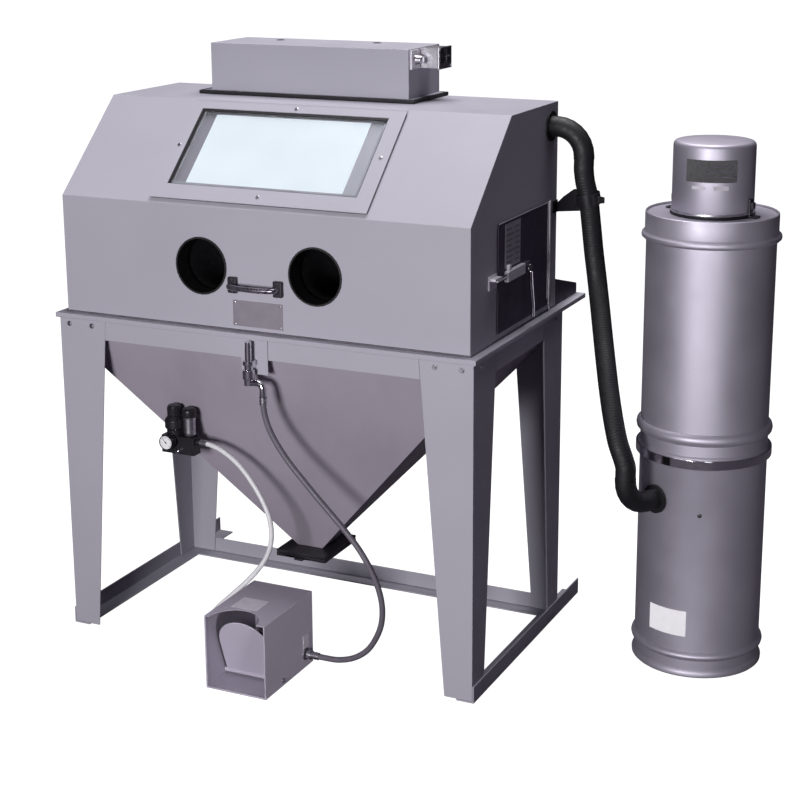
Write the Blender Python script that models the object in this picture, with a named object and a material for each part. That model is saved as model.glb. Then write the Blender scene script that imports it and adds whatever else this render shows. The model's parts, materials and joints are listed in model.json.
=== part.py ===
"""Suction sandblast cabinet on its stand, with foot pedal, air lines and a drum dust collector.

Metres, +Z up. The design is laid out from the cabinet: x = 0 is its centre, y = 0 its front wall
and z = 0 the floor. The empty "assembly" then moves it so that the origin is the bottom centre of
the whole product, hoses left out.
"""

import math

import bmesh
import bpy
from mathutils import Matrix, Vector

GAP = 0.0003

# Cabinet shell
CABINET_WIDTH = 1.0668
CABINET_DEPTH = 0.534
SHELL_BASE = 0.8168
FRONT_TOP = 1.104
CREST_Y = 0.233
CREST_Z = 1.320
SHEET = 0.0027
ARM_HOLES_X = (-0.148, 0.152)
ARM_HOLE_Z = 0.963
ARM_HOLE_RADIUS = 0.0675

# Table flange and rear shelf
FLANGE_OVERHANG = 0.0223
FLANGE_TOP = 0.8165
FLANGE_SHEET = 0.003
FLANGE_LIP = 0.012
SHELF_REACH = 0.163
TABLE_HALF_X = 0.5125
TABLE_Y = (0.0215, 0.5125)

# Stand
LEG_X = 0.548
LEG_Y = (-0.015, 0.549)
LEG_SHEET = 0.004
LEG_TOP = 0.8132
LEG_WIDTH_TOP = 0.133
LEG_WIDTH_FOOT = 0.070
APRON_DROP = 0.757
RAIL_HEIGHT = 0.042
RAIL_WIDTH = 0.045
RAIL_SHEET = 0.004

# Hopper
HOPPER_HALF_X = 0.531
HOPPER_Y = (0.008, 0.526)
HOPPER_TOP = 0.8130
HOPPER_SHOULDER = 0.745
HOPPER_FOOT = 0.207
HOPPER_SHEET = 0.002
OUTLET_HALF = 0.0352
OUTLET_Y = 0.267

# Dust collector
DRUM_X = 0.934
DRUM_Y = 0.474
DRUM_RADIUS = 0.149
DRUM_SEAM = 0.5290
DRUM_SHEET = 0.0015
INLET_Z = 0.427
INLET_BEARING = math.radians(240.9)

# Foot pedal
PEDAL_X = (-0.050, 0.110)
PEDAL_Y = (-0.197, 0.035)
PEDAL_HEIGHT = 0.182
TREADLE_AXIS_Y = -0.115
TREADLE_AXIS_Z = 0.014

# Hoses
DUST_HOSE_DIAMETER = 0.048
DUST_SPACING = 0.024
GREY_HOSE_DIAMETER = 0.014
WHITE_HOSE_DIAMETER = 0.012

# Bottom centre of the product's box, hoses left out, in the layout's coordinates
X_LEFT = -CABINET_WIDTH / 2 - FLANGE_OVERHANG
X_RIGHT = DRUM_X + 0.160
Y_FRONT = PEDAL_Y[0]
Y_REAR = CABINET_DEPTH + SHELF_REACH
ORIGIN = Vector(((X_LEFT + X_RIGHT) / 2, (Y_FRONT + Y_REAR) / 2, 0.0))


# ---------------------------------------------------------------- scene, materials, shape tools

def clear_scene():
    for obj in list(bpy.data.objects):
        bpy.data.objects.remove(obj, do_unlink=True)


def material(name, colour, roughness, metallic=0.0, alpha=1.0):
    made = bpy.data.materials.get(name)
    if made:
        return made
    made = bpy.data.materials.new(name)
    made.use_nodes = True
    shader = made.node_tree.nodes["Principled BSDF"]
    shader.inputs["Base Color"].default_value = (*colour, 1.0)
    shader.inputs["Roughness"].default_value = roughness
    shader.inputs["Metallic"].default_value = metallic
    shader.inputs["Alpha"].default_value = alpha
    return made


def paint():
    return material("grey_paint", (0.42, 0.41, 0.46), 0.45)


def hopper_paint():
    return material("hopper_paint", (0.27, 0.26, 0.30), 0.5)


def steel():
    return material("zinc_steel", (0.55, 0.55, 0.56), 0.35, 1.0)


def chrome():
    return material("chrome", (0.80, 0.80, 0.82), 0.12, 1.0)


def black_rubber():
    return material("black_rubber", (0.02, 0.02, 0.022), 0.7)


def black_plastic():
    return material("black_plastic", (0.025, 0.025, 0.03), 0.4)


def glass():
    return material("window_glass", (0.85, 0.88, 0.90), 0.05, 0.0, 0.3)


def black_paint():
    return material("black_paint", (0.03, 0.03, 0.035), 0.45)


def light_plastic():
    return material("light_plastic", (0.80, 0.80, 0.82), 0.4)


def place(name, shape, mat, pivot=(0.0, 0.0, 0.0), smooth=False):
    """Turns a bmesh in layout coordinates into an object whose origin is pivot."""
    bmesh.ops.remove_doubles(shape, verts=shape.verts, dist=1e-6)
    bmesh.ops.recalc_face_normals(shape, faces=shape.faces)
    bmesh.ops.translate(shape, verts=shape.verts, vec=-Vector(pivot))
    mesh = bpy.data.meshes.new(name)
    shape.to_mesh(mesh)
    shape.free()
    mesh.materials.append(mat)
    if smooth:
        mesh.shade_smooth()
        mesh.set_sharp_from_angle(angle=math.radians(35))
    obj = bpy.data.objects.new(name, mesh)
    obj.location = pivot
    bpy.context.scene.collection.objects.link(obj)
    return obj


def skin(loops, ring=False):
    """Joins equal loops of points in turn. A ring closes on its first loop, else the ends are capped."""
    shape = bmesh.new()
    rows = [[shape.verts.new(point) for point in loop] for loop in loops]
    count = len(rows[0])
    pairs = list(zip(rows, rows[1:]))
    if ring:
        pairs.append((rows[-1], rows[0]))
    for low, high in pairs:
        for i in range(count):
            j = (i + 1) % count
            shape.faces.new((low[i], low[j], high[j], high[i]))
    if not ring:
        shape.faces.new(rows[0])
        shape.faces.new(rows[-1])
    return shape


def block(low, high):
    (x0, y0, z0), (x1, y1, z1) = low, high
    corners = ((x0, y0), (x1, y0), (x1, y1), (x0, y1))
    return skin([[(x, y, z) for x, y in corners] for z in (z0, z1)])


def prism(outline, axis, start, end):
    """An outline in the plane across axis, pushed from start to end. Across X it is (y, z) points."""
    def point(a, b, along):
        return {"X": (along, a, b), "Y": (a, along, b), "Z": (a, b, along)}[axis]
    return skin([[point(a, b, along) for a, b in outline] for along in (start, end)])


def rectangle(half_x, y0, y1, z):
    return [(-half_x, y0, z), (half_x, y0, z), (half_x, y1, z), (-half_x, y1, z)]


def circle(radius, steps, centre, u, v):
    centre, u, v = Vector(centre), Vector(u), Vector(v)
    turns = [2 * math.pi * k / steps for k in range(steps)]
    return [centre + radius * (math.cos(t) * u + math.sin(t) * v) for t in turns]


def turned(profile, base, axis=(0, 0, 1), steps=32, hollow=False):
    """Turns a profile of (radius, height) points about axis. A hollow one is a closed ring of points."""
    axis = Vector(axis).normalized()
    side = axis.orthogonal().normalized()
    other = axis.cross(side)
    loops = [circle(r, steps, Vector(base) + axis * h, side, other) for r, h in profile]
    return skin(loops, ring=hollow)


def pipe(points, outer, inner, steps=24):
    """A bent tube with an open bore along points, mitred at each one."""
    points = [Vector(p) for p in points]
    ways = [(b - a).normalized() for a, b in zip(points, points[1:])]
    tangents = [ways[0]] + [(a + b).normalized() for a, b in zip(ways, ways[1:])] + [ways[-1]]
    side = tangents[0].orthogonal().normalized()
    frames = []
    for point, tangent in zip(points, tangents):
        side = (side - tangent * side.dot(tangent)).normalized()
        frames.append((point, side, tangent.cross(side)))
    out = [circle(outer, steps, *frame) for frame in frames]
    if not inner:
        return skin(out)
    back = [circle(inner, steps, *frame) for frame in reversed(frames)]
    return skin(out + back, ring=True)


def arc(centre, u, v, radius, start, end, count):
    """Points on an arc from start to end degrees, measured from u towards v."""
    angles = [math.radians(start + (end - start) * k / (count - 1)) for k in range(count)]
    return [Vector(centre) + radius * (math.cos(a) * Vector(u) + math.sin(a) * Vector(v)) for a in angles]


def combine(obj, shape, operation):
    """Applies a Boolean with a throwaway tool, which is removed again."""
    tool = place(obj.name + "_tool", shape, obj.data.materials[0])
    bpy.context.view_layer.update()
    modifier = obj.modifiers.new("combine", "BOOLEAN")
    modifier.operation = operation
    modifier.solver = "EXACT"
    modifier.object = tool
    graph = bpy.context.evaluated_depsgraph_get()
    mesh = bpy.data.meshes.new_from_object(obj.evaluated_get(graph))
    old = obj.data
    obj.modifiers.clear()
    obj.data = mesh
    bpy.data.meshes.remove(old)
    bpy.data.objects.remove(tool, do_unlink=True)
    return obj


def cut(obj, *shapes):
    for shape in shapes:
        combine(obj, shape, "DIFFERENCE")
    return obj


def join(obj, *shapes):
    for shape in shapes:
        combine(obj, shape, "UNION")
    return obj


# ---------------------------------------------------------------- cabinet

SLOPE_RISE = CREST_Z - FRONT_TOP
SLOPE_LENGTH = math.hypot(CREST_Y, SLOPE_RISE)


def on_slope(along, out):
    """(y, z) of a point this far up the window slope and this far out of it."""
    uy, uz = CREST_Y / SLOPE_LENGTH, SLOPE_RISE / SLOPE_LENGTH
    return (along * uy - out * uz, FRONT_TOP + along * uz + out * uy)


def slope_block(x0, x1, t0, t1, n0, n1):
    outline = [on_slope(t0, n0), on_slope(t1, n0), on_slope(t1, n1), on_slope(t0, n1)]
    return prism(outline, "X", x0, x1)


def slope_ring(outer, inner, n0, n1):
    """A flat frame on the slope. outer and inner are (x0, x1, t0, t1)."""
    def loop(x0, x1, t0, t1, n):
        return [(x, *on_slope(t, n)) for x, t in ((x0, t0), (x1, t0), (x1, t1), (x0, t1))]
    return skin([loop(*outer, n0), loop(*outer, n1), loop(*inner, n1), loop(*inner, n0)], ring=True)


def shell_outline(inset, floor):
    half_turn = math.tan(math.atan2(SLOPE_RISE, CREST_Y) / 2)
    lower = (inset, FRONT_TOP - inset * math.tan((math.pi / 2 - math.atan2(SLOPE_RISE, CREST_Y)) / 2))
    crest = (CREST_Y + inset * half_turn, CREST_Z - inset)
    return [
        (inset, floor), lower, crest, (CABINET_DEPTH - inset, CREST_Z - inset),
        (CABINET_DEPTH - inset, floor),
    ]


def cabinet_shell():
    half = CABINET_WIDTH / 2
    shell = place("cabinet_shell", prism(shell_outline(0, SHELL_BASE), "X", -half, half), paint())
    cut(shell, prism(shell_outline(SHEET, SHELL_BASE - 0.02), "X", SHEET - half, half - SHEET))
    cut(shell, slope_block(-0.245, 0.231, 0.066, 0.274, -0.02, 0.02))
    for x in ARM_HOLES_X:
        cut(
            shell,
            turned([(ARM_HOLE_RADIUS, -0.02), (ARM_HOLE_RADIUS, 0.02)], (x, 0, ARM_HOLE_Z), (0, 1, 0), 40),
        )
    cut(
        shell,
        block(
            (half - 0.02, DOOR_OPENING_Y[0], DOOR_OPENING_Z[0]),
            (half + 0.02, DOOR_OPENING_Y[1], DOOR_OPENING_Z[1]),
        ),
    )
    cut(shell, turned([(0.0250, -0.02), (0.0250, 0.02)], (half, PORT_Y, PORT_Z), (1, 0, 0), 28))
    cut(shell, block((-0.285, 0.372, CREST_Z - 0.02), (0.190, 0.508, CREST_Z + 0.02)))


def base_flange():
    """Flat table flange with a folded-down lip, carried back as a shelf behind the cabinet."""
    half = CABINET_WIDTH / 2 + FLANGE_OVERHANG
    front, rear = -FLANGE_OVERHANG, CABINET_DEPTH + SHELF_REACH
    under = FLANGE_TOP - FLANGE_SHEET
    lip = FLANGE_TOP - FLANGE_LIP
    inner = half - FLANGE_SHEET
    loops = [
        rectangle(half, front, rear, FLANGE_TOP),
        rectangle(half, front, rear, lip),
        rectangle(inner, front + FLANGE_SHEET, rear - FLANGE_SHEET, lip),
        rectangle(inner, front + FLANGE_SHEET, rear - FLANGE_SHEET, under),
        rectangle(TABLE_HALF_X, *TABLE_Y, under),
        rectangle(TABLE_HALF_X, *TABLE_Y, FLANGE_TOP),
    ]
    place("base_flange", skin(loops, ring=True), paint())


def rear_air_box():
    """Low sheet box on the rear shelf that covers the air intake in the back wall."""
    y0, y1 = CABINET_DEPTH + GAP, 0.690
    outline = [(y0, SHELL_BASE), (y0, 0.884), (y1, 0.843), (y1, SHELL_BASE)]
    hollow = [
        (y0 - 0.01, SHELL_BASE - 0.01), (y0 - 0.01, 0.8845), (y1 - 0.002, 0.8411),
        (y1 - 0.002, SHELL_BASE - 0.01),
    ]
    box = place("rear_air_box", prism(outline, "X", -0.5334, 0.5334), paint())
    cut(box, prism(hollow, "X", -0.5314, 0.5314))


def window():
    opening = (-0.256, 0.242, 0.054, 0.285)
    place("window_frame", slope_ring((-0.288, 0.281, 0.012, 0.308), opening, 0.0042, 0.0072), paint())
    pane = (-0.266, 0.252, 0.044, 0.295)
    seat = (pane[0] - GAP, pane[1] + GAP, pane[2] - GAP, pane[3] + GAP)
    place("window_gasket", slope_ring((-0.286, 0.279, 0.014, 0.306), seat, GAP, 0.0039), black_rubber())
    place("window_glass", slope_block(*pane, GAP, 0.0039), glass())


def light_fixture():
    x0, x1, y0, y1 = -0.318, 0.224, 0.350, 0.530
    base, top, sheet = CREST_Z + 0.0063, 1.446, 0.002
    housing = place("light_housing", block((x0, y0, base), (x1, y1, top)), paint())
    join(housing, block((x0 - 0.026, y0 - 0.012, base), (x1 + 0.020, y1 + 0.004, base + sheet)))
    cut(housing, block((x0 + sheet, y0 + sheet, base - 0.01), (x1 - sheet, y1 - sheet, top - sheet)))
    middle, half = (x0 + x1 - 0.006) / 2, (x1 - x0 + 0.046) / 2
    outer = [(x + middle, y, z) for x, y, z in rectangle(half, y0 - 0.013, y1 + 0.005, CREST_Z + GAP)]
    inner = [
        (x + middle, y, z) for x, y, z in rectangle(half - 0.036, y0 + 0.010, y1 - 0.010, CREST_Z + GAP)
    ]
    lift = Vector((0, 0, 0.0057))
    loops = [outer, [Vector(p) + lift for p in outer], [Vector(p) + lift for p in inner], inner]
    place("light_gasket", skin(loops, ring=True), black_rubber())
    place("light_lens", block((-0.292, 0.3615, CREST_Z + GAP), (0.198, 0.5185, CREST_Z + 0.004)), glass())
    tube = [
        (0.004, -0.262), (0.004, -0.250), (0.013, -0.249), (0.013, 0.249), (0.004, 0.250), (0.004, 0.262)
    ]
    place("light_tube", turned(tube, (-0.047, 0.440, 1.400), (1, 0, 0), 20), light_plastic(), smooth=True)


SWITCH_X = 0.2243
SWITCH_PIVOT = Vector((0.2795, 0.442, 1.422))


def light_switch():
    box = place("switch_box", block((SWITCH_X, 0.407, 1.398), (0.2755, 0.477, 1.446)), steel())
    join(box, block((0.274, 0.4045, 1.3955), (0.2785, 0.4795, 1.4475)))
    cut(box, block((0.268, 0.4355, 1.4135), (0.30, 0.4485, 1.4305)))
    lever = [(0.2705, 1.4195), (0.2705, 1.4245), (0.2890, 1.4295), (0.2905, 1.4255)]
    place(
        "switch_toggle", prism(lever, "Y", 0.4375, 0.4465), black_plastic(),
        SWITCH_PIVOT,
    )


SLEEVE = 0.0018


def arm_ring(side, x):
    """Collar through the arm hole: a thin lip outside and a neck inside that the glove clamps on."""
    profile = [
        (0.0645, -0.0022), (0.0686, -0.0022), (0.0686, -GAP), (0.0672, -GAP), (0.0672, 0.045),
        (0.0645, 0.045),
    ]
    place(
        "arm_ring_" + side, turned(profile, (x, 0, ARM_HOLE_Z), (0, 1, 0), 40, hollow=True),
        black_rubber(), smooth=True,
    )


def glove(side, x):
    """Sleeve and hand, clamped on the arm ring and lying down towards the work grate."""
    hand = 1 if side == "left" else -1
    route = [
        (0.0070, 0.963, 0.0703, 0.0703), (0.0475, 0.963, 0.0703, 0.0703), (0.060, 0.962, 0.067, 0.067),
        (0.110, 0.950, 0.062, 0.060), (0.165, 0.925, 0.056, 0.052), (0.220, 0.893, 0.050, 0.042),
        (0.270, 0.868, 0.046, 0.034), (0.320, 0.852, 0.050, 0.026), (0.370, 0.847, 0.050, 0.020),
        (0.420, 0.845, 0.038, 0.016), (0.440, 0.845, 0.018, 0.009),
    ]
    steps = 20
    loops, back = [], []
    for k, (y, z, wide, tall) in enumerate(route):
        tilt = 0.0 if k < 3 else math.radians(28 if k < 7 else 4)
        centre = Vector((x + hand * 0.10 * max(0.0, y - 0.10), y, z))
        up = Vector((0, math.sin(tilt), math.cos(tilt)))
        turns = [2 * math.pi * n / steps for n in range(steps)]
        across = Vector((1, 0, 0))
        loops.append([centre + across * wide * math.cos(t) + up * tall * math.sin(t) for t in turns])
        inner_w, inner_t = wide - SLEEVE, tall - SLEEVE
        back.append([centre + across * inner_w * math.cos(t) + up * inner_t * math.sin(t) for t in turns])
    shape = bmesh.new()
    outside = [[shape.verts.new(p) for p in loop] for loop in loops]
    inside = [[shape.verts.new(p) for p in loop] for loop in back[:-1]]
    for rows in (outside, inside):
        for low, high in zip(rows, rows[1:]):
            for i in range(steps):
                j = (i + 1) % steps
                shape.faces.new((low[i], low[j], high[j], high[i]))
        shape.faces.new(rows[-1])
    for i in range(steps):
        j = (i + 1) % steps
        shape.faces.new((outside[0][i], outside[0][j], inside[0][j], inside[0][i]))
    place("glove_" + side, shape, black_rubber(), smooth=True)


def front_handle():
    """Bowed pull bar between two wall brackets."""
    ends = (-0.062, 0.058)
    route = [(ends[0], -0.006, 0.926), (ends[0], -0.022, 0.926)]
    for k in range(1, 8):
        share = k / 8
        bow = 4 * share * (1 - share)
        route.append((ends[0] + (ends[1] - ends[0]) * share, -0.028 - 0.006 * bow, 0.9255))
    route += [(ends[1], -0.022, 0.926), (ends[1], -0.006, 0.926)]
    handle = place("front_handle", pipe(route, 0.0065, 0, 12), chrome(), smooth=True)
    for x in ends:
        join(handle, block((x - 0.012, -0.010, 0.907), (x + 0.012, -GAP, 0.945)))


# ---------------------------------------------------------------- side door

DOOR_OPENING_Y = (0.172, 0.450)
DOOR_OPENING_Z = (0.853, 1.068)
DOOR_Y = (0.150, 0.4665)
DOOR_Z = (0.834, 1.088)
DOOR_FACE = CABINET_WIDTH / 2 + 0.0012
DOOR_SHEET = 0.003
HINGE_Y = 0.4730
HINGE_X = CABINET_WIDTH / 2 + 0.0052
LATCH_PIVOT = Vector((CABINET_WIDTH / 2 + 0.0215, 0.312, 0.957))


def side_door():
    face = DOOR_FACE
    pivot = (HINGE_X, HINGE_Y, (DOOR_Z[0] + DOOR_Z[1]) / 2)
    outer = block((face, DOOR_Y[0], DOOR_Z[0]), (face + DOOR_SHEET, DOOR_Y[1], DOOR_Z[1]))
    door = place("side_door", outer, paint(), pivot)
    join(door, block((face + 0.001, 0.185, 0.978), (face + 0.0042, 0.280, 1.080)))
    join(door, block((face + 0.001, 0.186, 0.949), (face + 0.0130, 0.326, 0.972)))
    join(door, block((face + 0.005, 0.130, 0.956), (face + 0.0100, 0.190, 0.966)))
    wall = CABINET_WIDTH / 2
    barrel = turned([(0.0042, DOOR_Z[0]), (0.0042, DOOR_Z[1])], (HINGE_X, HINGE_Y, 0), steps=14)
    hinge = place("door_hinge", barrel, steel(), smooth=True)
    join(
        hinge,
        block((wall + GAP, HINGE_Y + 0.001, DOOR_Z[0]), (wall + 0.0022, HINGE_Y + 0.017, DOOR_Z[1])),
    )


def door_latch():
    front = DOOR_FACE + DOOR_SHEET
    hub = turned([(0.011, 0.0103), (0.011, 0.0160)], (front, 0.312, 0.957), (1, 0, 0), 20)
    grip = place("door_latch_lever", hub, chrome(), LATCH_PIVOT)
    route = [
        (front + 0.0158, 0.3120, 0.9500), (front + 0.0180, 0.3115, 0.9150),
        (front + 0.0225, 0.3110, 0.8700), (front + 0.0225, 0.3110, 0.8420),
    ]
    join(grip, pipe(route, 0.0052, 0, 12))
    wall = CABINET_WIDTH / 2
    keeper = place(
        "latch_keeper", block((wall + GAP, 0.098, 0.945), (wall + 0.004, 0.143, 0.977)), chrome()
    )
    join(keeper, block((wall + 0.003, 0.100, 0.9665), (wall + 0.018, 0.138, 0.9725)))


# ---------------------------------------------------------------- stand and hopper

def leg_width(z):
    return LEG_WIDTH_FOOT + (LEG_WIDTH_TOP - LEG_WIDTH_FOOT) * z / LEG_TOP


def leg(name, side_x, side_y):
    """Tapered L-section leg. side_x and side_y are the signs of its outer corner."""
    x = side_x * LEG_X
    y = LEG_Y[0] if side_y < 0 else LEG_Y[1]

    def section(z):
        w, t = leg_width(z), LEG_SHEET
        marks = ((0, 0), (w, 0), (w, t), (t, t), (t, w), (0, w))
        return [(x - side_x * a, y - side_y * b, z) for a, b in marks]

    place(name, skin([section(RAIL_SHEET + GAP), section(LEG_TOP)]), paint())


def aprons():
    """Flat plates between the legs, cut to the legs' taper, under the table flange."""
    top = LEG_TOP
    reach_top, reach_low = leg_width(top) + GAP, leg_width(APRON_DROP) + GAP
    outline = [
        (reach_low - LEG_X, APRON_DROP), (LEG_X - reach_low, APRON_DROP), (LEG_X - reach_top, top),
        (reach_top - LEG_X, top),
    ]
    place("apron_front", prism(outline, "Y", LEG_Y[0], LEG_Y[0] + LEG_SHEET), paint())
    place("apron_rear", prism(outline, "Y", LEG_Y[1] - LEG_SHEET, LEG_Y[1]), paint())
    outline = [
        (LEG_Y[0] + reach_low, APRON_DROP), (LEG_Y[1] - reach_low, APRON_DROP),
        (LEG_Y[1] - reach_top, top), (LEG_Y[0] + reach_top, top),
    ]
    place("apron_left", prism(outline, "X", -LEG_X, LEG_SHEET - LEG_X), paint())
    place("apron_right", prism(outline, "X", LEG_X - LEG_SHEET, LEG_X), paint())


def rails():
    """Angle-iron runners: two from front to back, one across the rear."""
    outer = LEG_X + GAP + RAIL_SHEET
    inner = outer - RAIL_WIDTH
    web = outer - RAIL_SHEET
    section = [
        (inner, 0), (outer, 0), (outer, RAIL_HEIGHT), (web, RAIL_HEIGHT), (web, RAIL_SHEET),
        (inner, RAIL_SHEET),
    ]
    rear = CABINET_DEPTH + SHELF_REACH
    place("rail_right", prism(section, "Y", LEG_Y[0], rear), paint())
    place("rail_left", prism([(-x, z) for x, z in section], "Y", LEG_Y[0], rear), paint())
    back = LEG_Y[1] + GAP + RAIL_SHEET
    section = [(back - RAIL_WIDTH, 0), (back, 0), (back, RAIL_HEIGHT), (back - RAIL_SHEET, RAIL_HEIGHT),
               (back - RAIL_SHEET, RAIL_SHEET), (back - RAIL_WIDTH, RAIL_SHEET)]
    place("rail_rear", prism(section, "X", GAP - inner, inner - GAP), paint())


def hopper():
    """Sheet funnel: straight skirt with a grate ledge, four sloping sides, open outlet."""
    y0, y1, s = *HOPPER_Y, HOPPER_SHEET
    foot0, foot1 = OUTLET_Y - OUTLET_HALF, OUTLET_Y + OUTLET_HALF
    ledge = 0.030
    loops = [
        rectangle(HOPPER_HALF_X, y0, y1, HOPPER_TOP),
        rectangle(HOPPER_HALF_X, y0, y1, HOPPER_SHOULDER),
        rectangle(OUTLET_HALF, foot0, foot1, HOPPER_FOOT),
        rectangle(OUTLET_HALF - s, foot0 + s, foot1 - s, HOPPER_FOOT),
        rectangle(HOPPER_HALF_X - s, y0 + s, y1 - s, HOPPER_SHOULDER + s),
        rectangle(HOPPER_HALF_X - s, y0 + s, y1 - s, 0.8040),
        rectangle(HOPPER_HALF_X - ledge, y0 + ledge, y1 - ledge, 0.8040),
        rectangle(HOPPER_HALF_X - ledge, y0 + ledge, y1 - ledge, 0.8060),
        rectangle(HOPPER_HALF_X - s, y0 + s, y1 - s, 0.8060),
        rectangle(HOPPER_HALF_X - s, y0 + s, y1 - s, HOPPER_TOP),
    ]
    place("hopper", skin(loops, ring=True), hopper_paint())


OUTLET_PLATE = (0.069, 0.085)
CLEAN_OUT_AXIS = Vector((0.0, OUTLET_Y + 0.0905, 0.1960))


def hopper_outlet():
    half_x, half_y = OUTLET_PLATE
    y0, y1 = OUTLET_Y - half_y, OUTLET_Y + half_y
    z0, z1 = 0.2000, HOPPER_FOOT - GAP
    bore = OUTLET_HALF - HOPPER_SHEET
    loops = [
        rectangle(half_x, y0, y1, z0), rectangle(half_x, y0, y1, z1),
        rectangle(bore, OUTLET_Y - bore, OUTLET_Y + bore, z1),
        rectangle(bore, OUTLET_Y - bore, OUTLET_Y + bore, z0),
    ]
    place("hopper_outlet", skin(loops, ring=True), black_paint())
    door = place(
        "clean_out_door", block((-half_x, y0, 0.1900), (half_x, y1, 0.1990)), black_paint(),
        CLEAN_OUT_AXIS,
    )
    join(door, turned([(0.004, -0.055), (0.004, 0.055)], CLEAN_OUT_AXIS, (1, 0, 0), 12))
    join(door, block((-0.05, y1 - 0.01, 0.1930), (0.05, CLEAN_OUT_AXIS.y, 0.1985)))
    join(door, block((-0.012, y0 - 0.014, 0.1915), (0.012, y0 + 0.004, 0.1965)))


def work_grate():
    """Flat bar grate: a plate with a regular grid of long slots."""
    x1, y0, y1 = 0.5105, 0.0235, 0.5105
    columns, rows, bar = 5, 12, 0.006
    grate = bmesh.new()
    pitch_x, pitch_y = (2 * x1 - bar) / columns, (y1 - y0 - bar) / rows
    xs = [v for k in range(columns + 1) for v in (-x1 + k * pitch_x, -x1 + k * pitch_x + bar)]
    ys = [v for k in range(rows + 1) for v in (y0 + k * pitch_y, y0 + k * pitch_y + bar)]
    grid = {
        (i, j, z): grate.verts.new((x, y, z))
        for i, x in enumerate(xs) for j, y in enumerate(ys) for z in (0.8063, 0.8143)
    }

    def solid(i, j):
        inside = 0 <= i < len(xs) - 1 and 0 <= j < len(ys) - 1
        return inside and (i % 2 == 0 or j % 2 == 0)

    for i in range(len(xs) - 1):
        for j in range(len(ys) - 1):
            if not solid(i, j):
                continue
            for z in (0.8063, 0.8143):
                grate.faces.new(
                    [grid[a, b, z] for a, b in ((i, j), (i + 1, j), (i + 1, j + 1), (i, j + 1))]
                )
            sides = (((i, j), (i + 1, j), (i, j - 1)), ((i + 1, j), (i + 1, j + 1), (i + 1, j)),
                     ((i, j + 1), (i + 1, j + 1), (i, j + 1)), ((i, j), (i, j + 1), (i - 1, j)))
            for a, b, beyond in sides:
                if not solid(*beyond):
                    grate.faces.new(
                        [grid[*a, 0.8063], grid[*b, 0.8063], grid[*b, 0.8143], grid[*a, 0.8143]]
                    )
    place("work_grate", grate, steel())


# ---------------------------------------------------------------- compressed air

REGULATOR_AXIS = Vector((-0.268, 0.046, 0.0))
KNOB_BASE = 0.5718
WHITE_EXIT = Vector((-0.1965, 0.046, 0.5100))
GREY_EXIT = Vector((0.0310, -0.0380, 0.6765))


def filter_regulator():
    """Manifold block with the regulator body, standing off the hopper on a bracket."""
    body = place(
        "filter_regulator", block((-0.298, 0.031, 0.478), (-0.206, 0.061, 0.522)), black_plastic()
    )
    join(
        body,
        turned(
            [(0.0195, 0.520), (0.0195, 0.536), (0.024, 0.542), (0.024, 0.560), (0.017, 0.5715)],
            REGULATOR_AXIS,
        ),
    )
    join(body, block((-0.262, 0.055, 0.498), (-0.250, 0.1025, 0.516)))
    join(
        body,
        turned([(0.0075, -0.020), (0.0075, 0.0172)], WHITE_EXIT - Vector((0.0175, 0, 0)), (1, 0, 0), 16),
    )
    knob = [(0.0165, KNOB_BASE), (0.0165, KNOB_BASE + 0.022), (0.014, KNOB_BASE + 0.026)]
    place(
        "regulator_knob", turned(knob, REGULATOR_AXIS, steps=20), black_plastic(),
        REGULATOR_AXIS + Vector((0, 0, KNOB_BASE)), smooth=True,
    )
    gauge = [(0.005, -0.006), (0.005, 0.004), (0.0185, 0.0045), (0.0185, 0.0205), (0.0170, 0.0215)]
    place(
        "pressure_gauge", turned(gauge, Vector((-0.268, 0.0247, 0.5130)), (0, -1, 0), 28), light_plastic(),
        smooth=True,
    )
    bowl = [
        (0.011, 0.5223), (0.0145, 0.5285), (0.0150, 0.5720), (0.0175, 0.5735), (0.0175, 0.5880),
        (0.0130, 0.5940),
    ]
    place("filter_bowl", turned(bowl, (-0.226, 0.046, 0), steps=20), steel(), smooth=True)


def air_valve():
    """Shut-off valve and swivel on a bracket under the table flange, where the grey hose starts."""
    plate = LEG_Y[0] - GAP
    place("valve_bracket", block((-0.036, plate - 0.003, 0.722), (0.034, plate, 0.8040)), paint())
    axis = (-0.006, -0.0380, 0)
    stack = [
        (0.007, 0.699), (0.0115, 0.7005), (0.0115, 0.715), (0.0145, 0.716), (0.0145, 0.737), (0.010, 0.7385),
        (0.0100, 0.7480), (0.0135, 0.7490), (0.0135, 0.7590), (0.0080, 0.7600), (0.0080, 0.8035),
    ]
    valve = place("air_valve", turned(stack, axis, steps=16), chrome())
    join(valve, block((-0.016, -0.034, 0.740), (0.004, plate - 0.0033, 0.757)))
    join(
        valve,
        pipe(
            [(-0.006, -0.038, 0.708), (0.018, -0.038, 0.708), (0.0275, -0.038, 0.704),
             (0.031, -0.038, 0.696), (0.031, -0.038, 0.6768)],
            0.0085, 0, 12,
        ),
    )


def blast_gun():
    """Suction gun laid on the grate: barrel, nozzle and grip in one casting."""
    barrel = [
        (0.0125, 0.0), (0.0145, 0.004), (0.0145, 0.085), (0.0110, 0.095), (0.0110, 0.120), (0.0060, 0.135)
    ]
    gun = place(
        "blast_gun", turned(barrel, (0.330, 0.400, 0.8300), (-1, 0.25, 0), 20), steel(), smooth=True
    )
    join(
        gun,
        turned([(0.011, 0.0), (0.0125, 0.090), (0.0095, 0.105)], (0.300, 0.405, 0.830), (0.25, 1, 0), 16),
    )


# ---------------------------------------------------------------- foot pedal

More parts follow.
